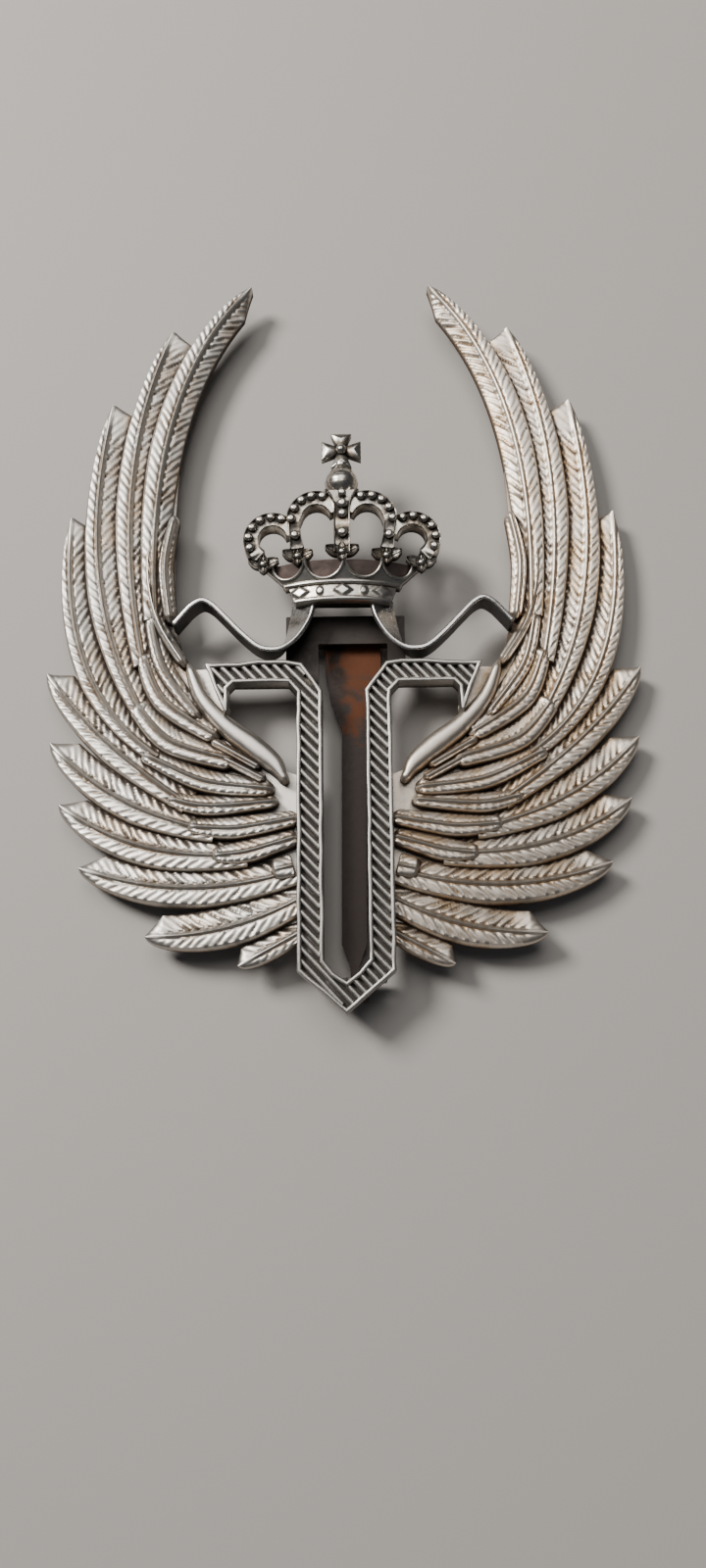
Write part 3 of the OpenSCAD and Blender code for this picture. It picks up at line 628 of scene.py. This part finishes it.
def across_band(y0, y1, half0, half1, shape, bm):
    """A strip across the crown's front, its height given by shape(share from y0 to y1)."""
    low, high = Vector((half0, y0)), Vector((half1, y1))

    def place(t, share):
        u = (share + 1) / 2
        half_width = half0 + (half1 - half0) * u
        x, y = (2 * t - 1) * half_width, y0 + (y1 - y0) * u
        rise, tarnish_and_shade = shape(x, y, u)
        return Vector((x, y, band_z(x) + rise)), band_z(x) - 1.2, tarnish_and_shade

    lay_sheet(bm, 120, 12, place)


def rim_shape(x, y, u):
    return 0.22 * math.sqrt(max(0, 1 - (2 * u - 1) ** 2)) - 0.1, 0.15 * (1 - bump_of(u, 0.5, 0.5))


def lozenge_shape(x, y, u):
    lozenge = min(abs(x - m) / 1.15 + abs(u - 0.5) * 1.6 for m in (-4.1, 0, 3.7))
    stud = min(math.hypot(x - m, (u - 0.5) * 1.1) for m in (-2.15, 2.0))
    raised = max(ramp(lozenge, 1.0, 0.45), ramp(stud, 0.42, 0.2))
    return 0.2 * raised - 0.2, 0.6 - 0.55 * raised


def panel_place(t, share):
    y = 3.28 + (share + 1) / 2 * 1.75
    half_width = 5.7 + (y - 3.3) * 1.05
    x = (2 * t - 1) * half_width
    cut_out = any(math.hypot(x - s[0], y - s[1]) < s[2] - 0.08 for s in SCALLOPS) and y > 3.35
    return Vector((x, y, panel_z(x, y) - 0.5 * cut_out)), panel_z(x, y) - 0.75, 0.1


band = start_piece()
across_band(1.1, 1.62, 4.45, 4.6, rim_shape, band)
across_band(1.55, 2.9, 4.6, 5.1, lozenge_shape, band)
across_band(2.82, 3.32, 5.4, 5.7, rim_shape, band)
lay_sheet(band, 200, 26, panel_place)
for x, y, radius in SCALLOPS:
    turns = [math.radians(a) for a in range(178, 363, 6)]
    arc = [(x + radius * math.cos(a), y + radius * math.sin(a)) for a in turns]
    sweep(band, [(px, py, panel_z(px, py) + 0.05) for px, py in arc], round_ring(0.15))
silver_band = silver("silver of the crown's band", (0.58, 0.55, 0.5), (0.03, 0.024, 0.02), (0.34, 0.27, 0.19), 0.6, 0.9, 0.32)
finish_piece("crown_band_and_panel", band, silver_band, "badge", ["crown_circlet"], reach=1.2)


def lining_place(t, share):
    y = 3.34 + (share + 1) / 2 * 1.7
    x = (2 * t - 1) * (5.55 + (y - 3.3) * 0.9)
    wave = 0.04 * noise.noise(Vector((x * 1.3, y * 1.3, 0)))
    return Vector((x, y, panel_z(x, y) - 0.36 + wave)), panel_z(x, y) - 1.0, 0.1


lining = start_piece()
lay_sheet(lining, 90, 14, lining_place)
brown_lining = silver("brown lining", (0.26, 0.2, 0.18), (0.05, 0.03, 0.025), (0.3, 0.17, 0.09), 0.9, 0.8, 0.5)
finish_piece("crown_lining_sheet", lining, brown_lining, "badge", ["crown_lining"])


# ---- Crown: arches ------------------------------------------------------------------------------
# Five cast silver arches stand on the panel, each on a leafy foot and set with a row of pearls
# between two wire edges. The middle one widens at the top into a cup for the orb.
ARCH_DEPTH = 1.7


def channel_ring(width):
    """Cross-section of an arch: a deep strip whose front has a raised wire along each edge."""
    half_width, wire = width / 2, 0.14
    return [(-half_width, -ARCH_DEPTH), (half_width, -ARCH_DEPTH), (half_width, -0.05),
            (half_width - wire / 2, 0.06), (half_width - wire, 0.02), (half_width - wire - 0.05, -0.16),
            (wire + 0.05 - half_width, -0.16), (wire - half_width, 0.02), (wire / 2 - half_width, 0.06),
            (-half_width, -0.05)]


def pearl(bm, x, y, z, size):
    """A cast pearl, a little uneven, with a small flat where it was polished."""
    ball = bmesh.ops.create_icosphere(bm, subdivisions=3, radius=size / 2)["verts"]
    centre = Vector((x, y, z))
    for v in ball:
        v.co *= 1 + 0.09 * noise.noise(v.co * 2.2 + centre)
        v.co.z = min(v.co.z, 0.43 * size)
        v.co += centre


def leaf(bm, x, y, z, turn, length, width, curl):
    """One pointed leaf of an arch's foot: hollow along both sides of its rib, its tip curled up."""
    turn = math.radians(turn)

    def place(t, share):
        half_width = width / 2 * math.sin(math.pi * min(0.97, 0.25 + 0.75 * t)) ** 0.7
        along, side = t * length, share * half_width
        rise = curl * t * t + 0.16 * share * share - 0.12 * bump_of(share, 0.45, 0.4) - 0.12 * bump_of(share, -0.45, 0.4)
        px = x + along * math.cos(turn) - side * math.sin(turn)
        py = y + along * math.sin(turn) + side * math.cos(turn)
        return Vector((px, py, z + rise)), z - 0.7, 0.25 * (1 - abs(share))

    lay_sheet(bm, 16, 10, place)


def leafy_foot(bm, x, y, z, spread=1.35):
    leaf(bm, x + 0.15, y - 0.1, z, 18, spread, 1.0, 0.3)
    leaf(bm, x - 0.15, y - 0.1, z, 162, spread, 1.0, 0.3)
    leaf(bm, x, y - 0.25, z + 0.15, -90, 0.75, 0.9, 0.12)
    leaf(bm, x, y, z + 0.1, 90, 0.8, 0.8, 0.1)
    knob = bmesh.ops.create_icosphere(bm, subdivisions=2, radius=0.42)["verts"]
    bmesh.ops.transform(bm, matrix=Matrix.Translation((x, y - 0.1, z - 0.02)), verts=knob)


# The crown's hollows and arch sides get tarnish and painted shade at 1.6 times the usual strength.
silver_crown = silver("silver of the crown", (0.52, 0.49, 0.44), (0.02, 0.016, 0.012), (0.26, 0.2, 0.14), 0.9, 1.6, 0.28)
centre_arch = start_piece()
centre_path = [(0, y, 7.55 + 0.25 * math.sin((y - 5.6) / 6.4 * math.pi)) for y in (5.6, 6.5, 7.5, 8.5, 9.5, 10.4, 11, 11.5, 12)]
sweep(centre_arch, centre_path, channel_ring(1.55), grow=[1, 1, 1, 1, 1, 1.05, 1.25, 1.6, 2.1])
for y, size in ((7.45, 1.0), (9.35, 0.95), (10.4, 1.05), (11.5, 0.85)):
    pearl(centre_arch, 0.05, y, 7.75, size)
leafy_foot(centre_arch, 0, 5.75, 7.35, 1.5)
finish_piece("crown_arch_centre_cast", centre_arch, silver_crown, "badge", ["crown_arch_centre"], reach=1.2)

inner_arch = start_piece()
inner_path = [(2.4 + 2.15 * math.cos(math.radians(a)), 9.0 + 2.25 * math.sin(math.radians(a)), 7.3) for a in range(152, -9, -8)]
inner_path += [(4.45, 8.0, 7.28), (4.38, 7.2, 7.25), (4.25, 6.2, 7.2)]
sweep(inner_arch, inner_path, channel_ring(1.5), grow=[1.0] * 18 + [0.95, 0.85, 0.72, 0.72, 0.75, 0.9])
for angle in (104, 79, 54, 29, 3):
    turn = math.radians(angle)
    pearl(inner_arch, 2.4 + 2.4 * math.cos(turn), 9.0 + 2.5 * math.sin(turn), 7.22, 0.9)
pearl(inner_arch, 4.45, 7.45, 7.2, 0.95)
leafy_foot(inner_arch, 4.2, 5.6, 6.75)
right_inner = finish_piece("crown_arch_inner_right_cast", inner_arch, silver_crown, "badge",
                           ["crown_arch_inner_right"], reach=1.2)
mirrored_piece("crown_arch_inner_left_cast", right_inner, silver_crown, "badge",
               ["crown_arch_inner_left"])

outer_arch = start_piece()
outer_path = [(6.65 + 2.05 * math.cos(math.radians(a)), 7.6 + 2.05 * math.sin(math.radians(a)), 6.1) for a in range(162, -56, -8)]
sweep(outer_arch, outer_path, channel_ring(1.45))
for angle in (112, 86, 59, 33, 6, -22):
    turn = math.radians(angle)
    pearl(outer_arch, 6.65 + 2.3 * math.cos(turn), 7.6 + 2.3 * math.sin(turn), 6.02, 0.9)
leafy_foot(outer_arch, 7.5, 5.25, 5.75)
right_outer = finish_piece("crown_arch_outer_right_cast", outer_arch, silver_crown, "badge",
                           ["crown_arch_outer_right"], reach=1.2)
mirrored_piece("crown_arch_outer_left_cast", right_outer, silver_crown, "badge",
               ["crown_arch_outer_left"])


# ---- Crown: orb and cross -----------------------------------------------------------------------
# The orb is a turned silver bulb that sits in the middle arch's cup and narrows to a neck. A cross
# of four flared arms, each with a ridge down its middle, is cast on the neck.
ORB_AXIS_Z = 6.4
ORB_PROFILE = [(0.0, 11.5), (0.7, 11.55), (1.15, 12.0), (1.5, 12.6), (1.6, 13.15), (1.48, 13.7), (1.12, 14.25),
               (0.75, 14.6), (0.58, 14.95), (0.62, 15.2), (0.0, 15.25)]
orb = start_piece()
turned = [orb.verts.new((r, y, ORB_AXIS_Z)) for r, y in ORB_PROFILE]
outline = [orb.edges.new(pair) for pair in zip(turned, turned[1:])]
bmesh.ops.subdivide_edges(orb, edges=outline, cuts=2, smooth=1.0)
spun = orb.verts[:] + orb.edges[:]
bmesh.ops.spin(orb, geom=spun, cent=(0, 0, ORB_AXIS_Z), axis=(0, 1, 0), angle=math.tau, steps=56, use_merge=True)
bmesh.ops.remove_doubles(orb, verts=orb.verts, dist=0.001)
for v in orb.verts:
    v.co += noise.noise_vector(v.co * 1.1) * 0.03
finish_piece("crown_orb_bulb", orb, silver_crown, "badge", ["crown_orb"])

CROSS_MIDDLE = Vector((0, 16.55, 5.8))
CROSS_REACH = 1.9
cross = start_piece()
for quarter in range(4):
    reach = CROSS_REACH if quarter % 2 == 0 else 1.8
    low, crest = 0.0, 1.15
    foot = [(0.0, 0.3, low), (reach, 1.02, low), (reach, -1.02, low), (0.0, -0.3, low)]
    ring, sole = outline_face(cross, [p[:2] for p in foot], low)
    lifted = bmesh.ops.extrude_face_region(cross, geom=sole, use_keep_orig=True)["geom"]
    top = [v for v in lifted if isinstance(v, bmesh.types.BMVert)]
    bmesh.ops.translate(cross, vec=(0, 0, 0.78), verts=top)
    lid = [f for f in lifted if isinstance(f, bmesh.types.BMFace)]
    peak = bmesh.ops.poke(cross, faces=lid, offset=0.0)["verts"]
    for v in peak:
        v.co = Vector((reach * 0.62, 0, crest))
    arm = ring + top + peak
    turn = Matrix.Rotation(quarter * math.pi / 2, 4, "Z")
    bmesh.ops.transform(cross, matrix=Matrix.Translation(CROSS_MIDDLE) @ turn, verts=arm)
corners = [e for e in cross.edges if e.calc_face_angle(0) > 0.5]
bmesh.ops.bevel(cross, geom=corners, offset=0.07, segments=2, profile=0.5, affect="EDGES", material=-1)
boss = bmesh.ops.create_icosphere(cross, subdivisions=3, radius=0.52)["verts"]
bmesh.ops.transform(cross, matrix=Matrix.Translation(CROSS_MIDDLE + Vector((0, 0, 1.0))), verts=boss)
finish_piece("crown_cross_cast", cross, silver_crown, "badge", ["crown_cross"], reach=1.2)


# ---- Brooch hinge -------------------------------------------------------------------------------
# A brown steel plate is soldered across the back of the frame's arms. A bent bracket on it has two
# round ears, and a rivet through the ears carries the pin. The steel's brown is made near black as
# painted shade for the dark space behind the frame and under the crown.
HINGE = Vector((0.9, -0.5, 1.15))
PIN_HALF = 2.65
EAR = 0.8
HINGE_PLATE = [(-5.5, -5.8), (-5.5, 0.9), (5.9, 0.9), (5.9, -5.8), (4.2, -5.8), (4.2, -1.9), (-2.4, -1.9), (-2.4, -5.8)]


def drum(bm, middle, way, radius, length, edge, segments=40):
    """A short round bar with rounded ends."""
    ends = bmesh.ops.create_cone(bm, cap_ends=True, segments=segments, radius1=radius, radius2=radius, depth=length)["verts"]
    rings = [e for e in {e for v in ends for e in v.link_edges} if abs(e.verts[0].co.z - e.verts[1].co.z) < 0.001]
    made = bmesh.ops.bevel(bm, geom=rings, offset=edge, segments=3, profile=0.5, affect="EDGES", material=-1)["verts"]
    turn = Vector(way).to_track_quat("Z", "Y").to_matrix().to_4x4()
    whole = list({v for v in ends if v.is_valid} | set(made))
    bmesh.ops.transform(bm, matrix=Matrix.Translation(middle) @ turn, verts=whole)


# Near-black brown: the steel's own brown darkened as painted shade behind the frame.
brown_steel_darkened_as_shade = silver("brown steel darkened as painted shade", (0.035, 0.028, 0.024), (0.014, 0.01, 0.008), (0.06, 0.026, 0.01), 0.9, 1.0, 0.55, 0.5)
plate = start_piece()
flat_plate(plate, HINGE_PLATE, 2.5, 3.0)
finish_piece("hinge_plate_sheet", plate, brown_steel_darkened_as_shade, "badge", ["hinge_plate"])

bracket = start_piece()
for side in (-1, 1):
    middle = HINGE + Vector((side * (PIN_HALF + 0.06 + EAR / 2), 0, 0))
    drum(bracket, middle, (1, 0, 0), 1.15, EAR, 0.12)
    web = [(middle.x - EAR / 2, HINGE.y - 1.15), (middle.x + EAR / 2, HINGE.y - 1.15),
           (middle.x + EAR / 2, HINGE.y + 1.15), (middle.x - EAR / 2, HINGE.y + 1.15)]
    flat_plate(bracket, web, HINGE.z, 2.5)
reach = PIN_HALF + 0.06 + EAR
flat_plate(bracket, [(HINGE.x - reach, HINGE.y - 1.15), (HINGE.x + reach, HINGE.y - 1.15),
                     (HINGE.x + reach, HINGE.y + 1.15), (HINGE.x - reach, HINGE.y + 1.15)], 2.2, 2.52)
finish_piece("hinge_bracket_bent", bracket, brown_steel_darkened_as_shade, "badge", ["hinge_bracket"])

rivet = start_piece()
drum(rivet, HINGE, (1, 0, 0), 0.4, 2 * reach, 0.05)
for side in (-1, 1):
    drum(rivet, HINGE + Vector((side * (reach + 0.15), 0, 0)), (1, 0, 0), 0.75, 0.3, 0.13)
finish_piece("hinge_rivet_headed", rivet, brown_steel_darkened_as_shade, "badge", ["hinge_rivet"])


# ---- Brooch pin ---------------------------------------------------------------------------------
# A flat steel blade, wide at the hinge, where it is rolled into a barrel round the rivet, and
# narrow below its shoulders. It has gone brown, with orange rust on its wide part; steel and rust
# are both darkened as painted shade for its place behind the frame.
PIN_LOW, PIN_GAUGE = 1.1, 0.6
CATCH_X = 0.7
lean_x = CATCH_X - HINGE.x
PIN_RIGHT = [(PIN_HALF, -1.15), (PIN_HALF, -4.5), (PIN_HALF - 0.5, -7.5), (1.15, -10), (1.15 + lean_x, -30.5),
             (0.375 + lean_x, -32.6), (0.375 + lean_x, -34.9), (lean_x, -35.3)]
PIN_LEFT = [(lean_x - 0.375, -34.9), (lean_x - 0.375, -32.6), (lean_x - 1.15, -30.5), (-1.15, -10),
            (-PIN_HALF + 0.5, -7.5), (-PIN_HALF, -4.5), (-PIN_HALF, -1.15)]
pin = start_piece()
flat_plate(pin, [(HINGE.x + x, y) for x, y in PIN_RIGHT + PIN_LEFT], PIN_LOW, PIN_LOW + PIN_GAUGE)
BARREL_RADIUS, BORE_RADIUS = 0.95, 0.44
wall = [(x, r) for x, r in ((-PIN_HALF, BORE_RADIUS), (PIN_HALF, BORE_RADIUS), (PIN_HALF, BARREL_RADIUS - 0.1),
                            (PIN_HALF - 0.1, BARREL_RADIUS), (0.1 - PIN_HALF, BARREL_RADIUS),
                            (-PIN_HALF, BARREL_RADIUS - 0.1))]
ring = [pin.verts.new(HINGE + Vector((x, 0, r))) for x, r in wall]
hoop = [pin.edges.new(pair) for pair in zip(ring, ring[1:] + ring[:1])]
bmesh.ops.spin(pin, geom=ring + hoop, cent=HINGE, axis=(1, 0, 0), angle=math.tau, steps=48, use_merge=True)


def rusty_steel_darkened_as_shade():
    # The steel colours are darkened as painted shade: the pin lies in shade behind the frame.
    material = silver("rusty pin steel darkened as painted shade", (0.04, 0.032, 0.029), (0.015, 0.011, 0.009), (0.045, 0.024, 0.015), 0.9, 0.9, 0.55, 0.5)
    nodes, links = material.node_tree.nodes, material.node_tree.links
    shader = nodes["Principled BSDF"]
    finish = next(n for n in nodes if n.type == "GROUP")
    shader.inputs["Specular IOR Level"].default_value = 0.2
    place = nodes.new("ShaderNodeTexCoord")
    split = nodes.new("ShaderNodeSeparateXYZ")
    links.new(place.outputs["Object"], split.inputs[0])
    near_top = nodes.new("ShaderNodeMapRange")
    for name, number in (("From Min", -0.019), ("From Max", -0.004), ("To Min", -0.34), ("To Max", 0.1)):
        near_top.inputs[name].default_value = number
    links.new(split.outputs["Y"], near_top.inputs["Value"])
    patch = nodes.new("ShaderNodeTexNoise")
    patch.inputs["Scale"].default_value = 330
    patch.inputs["Detail"].default_value = 5
    links.new(place.outputs["Object"], patch.inputs["Vector"])
    total = nodes.new("ShaderNodeMath")
    links.new(patch.outputs["Fac"], total.inputs[0])
    links.new(near_top.outputs["Result"], total.inputs[1])
    mask = nodes.new("ShaderNodeMapRange")
    mask.interpolation_type = "SMOOTHSTEP"
    mask.inputs["From Min"].default_value = 0.5
    mask.inputs["From Max"].default_value = 0.66
    links.new(total.outputs[0], mask.inputs["Value"])
    rust = nodes.new("ShaderNodeMix")
    rust.data_type = "RGBA"
    # Dark rust: real rust, darkened as painted shade.
    rust.inputs["B"].default_value = (0.1, 0.03, 0.008, 1)
    links.new(mask.outputs["Result"], rust.inputs["Factor"])
    links.new(finish.outputs["Color"], rust.inputs["A"])
    links.new(rust.outputs["Result"], shader.inputs["Base Color"])
    metal = nodes.new("ShaderNodeMath")
    metal.operation = "SUBTRACT"
    metal.use_clamp = True
    links.new(finish.outputs["Metallic"], metal.inputs[0])
    links.new(mask.outputs["Result"], metal.inputs[1])
    links.new(metal.outputs[0], shader.inputs["Metallic"])
    return material


finish_piece("brooch_pin_blade", pin, rusty_steel_darkened_as_shade(), "pin", ["brooch_pin"])


# ---- Safety catch -------------------------------------------------------------------------------
# A short slotted tube soldered behind the frame's point, and a slotted ring that turns in it. The
# pin's tip drops through both slots; turning the ring by its tab shuts it in.
CATCH = Vector((CATCH_X, 0, 1.4))


def slotted_tube(bm, wall, slot):
    """A tube along Y with a slot that faces down, drawn from its wall's section as (radius, y) points."""
    half_slot = math.asin(slot / 2 / max(r for r, y in wall))
    start = Matrix.Rotation(half_slot, 3, "Y")
    ring = [bm.verts.new(CATCH + Vector((0, y, 0)) + start @ Vector((0, 0, -r))) for r, y in wall]
    hoop = [bm.edges.new(pair) for pair in zip(ring, ring[1:] + ring[:1])]
    last = bmesh.ops.spin(bm, geom=ring + hoop, cent=CATCH, axis=(0, 1, 0), angle=math.tau - 2 * half_slot, steps=44)
    bmesh.ops.edgeloop_fill(bm, edges=hoop)
    bmesh.ops.edgeloop_fill(bm, edges=[g for g in last["geom_last"] if isinstance(g, bmesh.types.BMEdge)])


housing = start_piece()
slotted_tube(housing, [(0.94, -35.7), (1.24, -35.7), (1.3, -35.64), (1.3, -34.16), (1.24, -34.1), (0.94, -34.1)], 0.86)
flat_plate(housing, [(CATCH_X - 0.8, -35.7), (CATCH_X + 0.8, -35.7), (CATCH_X + 0.8, -34.1), (CATCH_X - 0.8, -34.1)], 2.42, 3.0)
finish_piece("catch_housing_tube", housing, brown_steel_darkened_as_shade, "badge", ["catch_housing"])

ring_piece = start_piece()
slotted_tube(ring_piece, [(0.5, -35.7), (0.84, -35.7), (0.9, -35.64), (0.9, -34.05), (1.14, -34.05), (1.2, -33.99),
                          (1.2, -33.61), (1.14, -33.55), (0.5, -33.55)], 0.86)
thumb = bmesh.ops.create_cube(ring_piece, size=1)["verts"]
bmesh.ops.scale(ring_piece, vec=(2.0, 0.42, 0.86), verts=thumb)
sides = list({e for v in thumb for e in v.link_edges})
made = bmesh.ops.bevel(ring_piece, geom=sides, offset=0.14, segments=3, profile=0.5, affect="EDGES", material=-1)["verts"]
thumb = list({v for v in thumb if v.is_valid} | set(made))
bmesh.ops.transform(ring_piece, matrix=Matrix.Translation(CATCH + Vector((1.95, -33.8, 0))), verts=thumb)
grey_steel = silver("grey steel", (0.5, 0.46, 0.41), (0.06, 0.045, 0.035), (0.4, 0.3, 0.2), 0.5, 1.0, 0.34)
finish_piece("catch_ring_turned", ring_piece, grey_steel, "safety_ring", ["catch_ring"])


# ---- Floor, light and camera --------------------------------------------------------------------
# The badge lies on a plain pale floor under one big soft lamp high on the left and a dim white room.
floor_bm = bmesh.new()
bmesh.ops.create_grid(floor_bm, x_segments=1, y_segments=1, size=1.2)
floor_mesh = bpy.data.meshes.new("floor")
floor_bm.to_mesh(floor_mesh)
floor_bm.free()
floor = bpy.data.objects.new("floor", floor_mesh)
bpy.context.scene.collection.objects.link(floor)
paint = bpy.data.materials.new("floor paint")
paint.use_nodes = True
paint.node_tree.nodes["Principled BSDF"].inputs["Base Color"].default_value = (0.46, 0.435, 0.41, 1)
paint.node_tree.nodes["Principled BSDF"].inputs["Roughness"].default_value = 0.75
floor_mesh.materials.append(paint)
floor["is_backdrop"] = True


def soft_lamp(name, place, aim, size, watts, colour):
    light = bpy.data.lights.new(name, "AREA")
    light.shape = "DISK"
    light.size = size
    light.energy = watts
    light.color = colour
    lamp = bpy.data.objects.new(name, light)
    lamp.location = place
    lamp.rotation_euler = (Vector(aim) - Vector(place)).to_track_quat("-Z", "Y").to_euler()
    bpy.context.scene.collection.objects.link(lamp)


soft_lamp("key lamp", (-0.25, 0.16, 0.3), (0, 0, 0), 0.14, 2.1, (1, 0.97, 0.93))
soft_lamp("ceiling glow", (-0.03, 0.2, 0.45), (0, 0, 0), 0.36, 1.0, (1, 0.98, 0.95))
world = bpy.data.worlds.new("room")
world.use_nodes = True
world.node_tree.nodes["Background"].inputs["Color"].default_value = (0.9, 0.93, 1, 1)
world.node_tree.nodes["Background"].inputs["Strength"].default_value = 0.07
bpy.context.scene.world = world

view_from = Vector((0.75, -43.3, 113.6)) * MM
view_at = Vector((0.75, -15.0, 0)) * MM
lens = bpy.data.cameras.new("camera")
lens.sensor_fit = "VERTICAL"
lens.sensor_height = 36
lens.lens = 28.125
lens.clip_start = 0.005
camera = bpy.data.objects.new("camera", lens)
camera.location = view_from
turn = (view_at - view_from).to_track_quat("-Z", "Y").to_matrix() @ Matrix.Rotation(math.radians(-0.7), 3, "Z")
camera.rotation_euler = turn.to_euler()
bpy.context.scene.collection.objects.link(camera)
bpy.context.scene.camera = camera

low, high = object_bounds()
size = {"cad": [list(cad_low), list(cad_high)], "visual": [list(low), list(high)]}
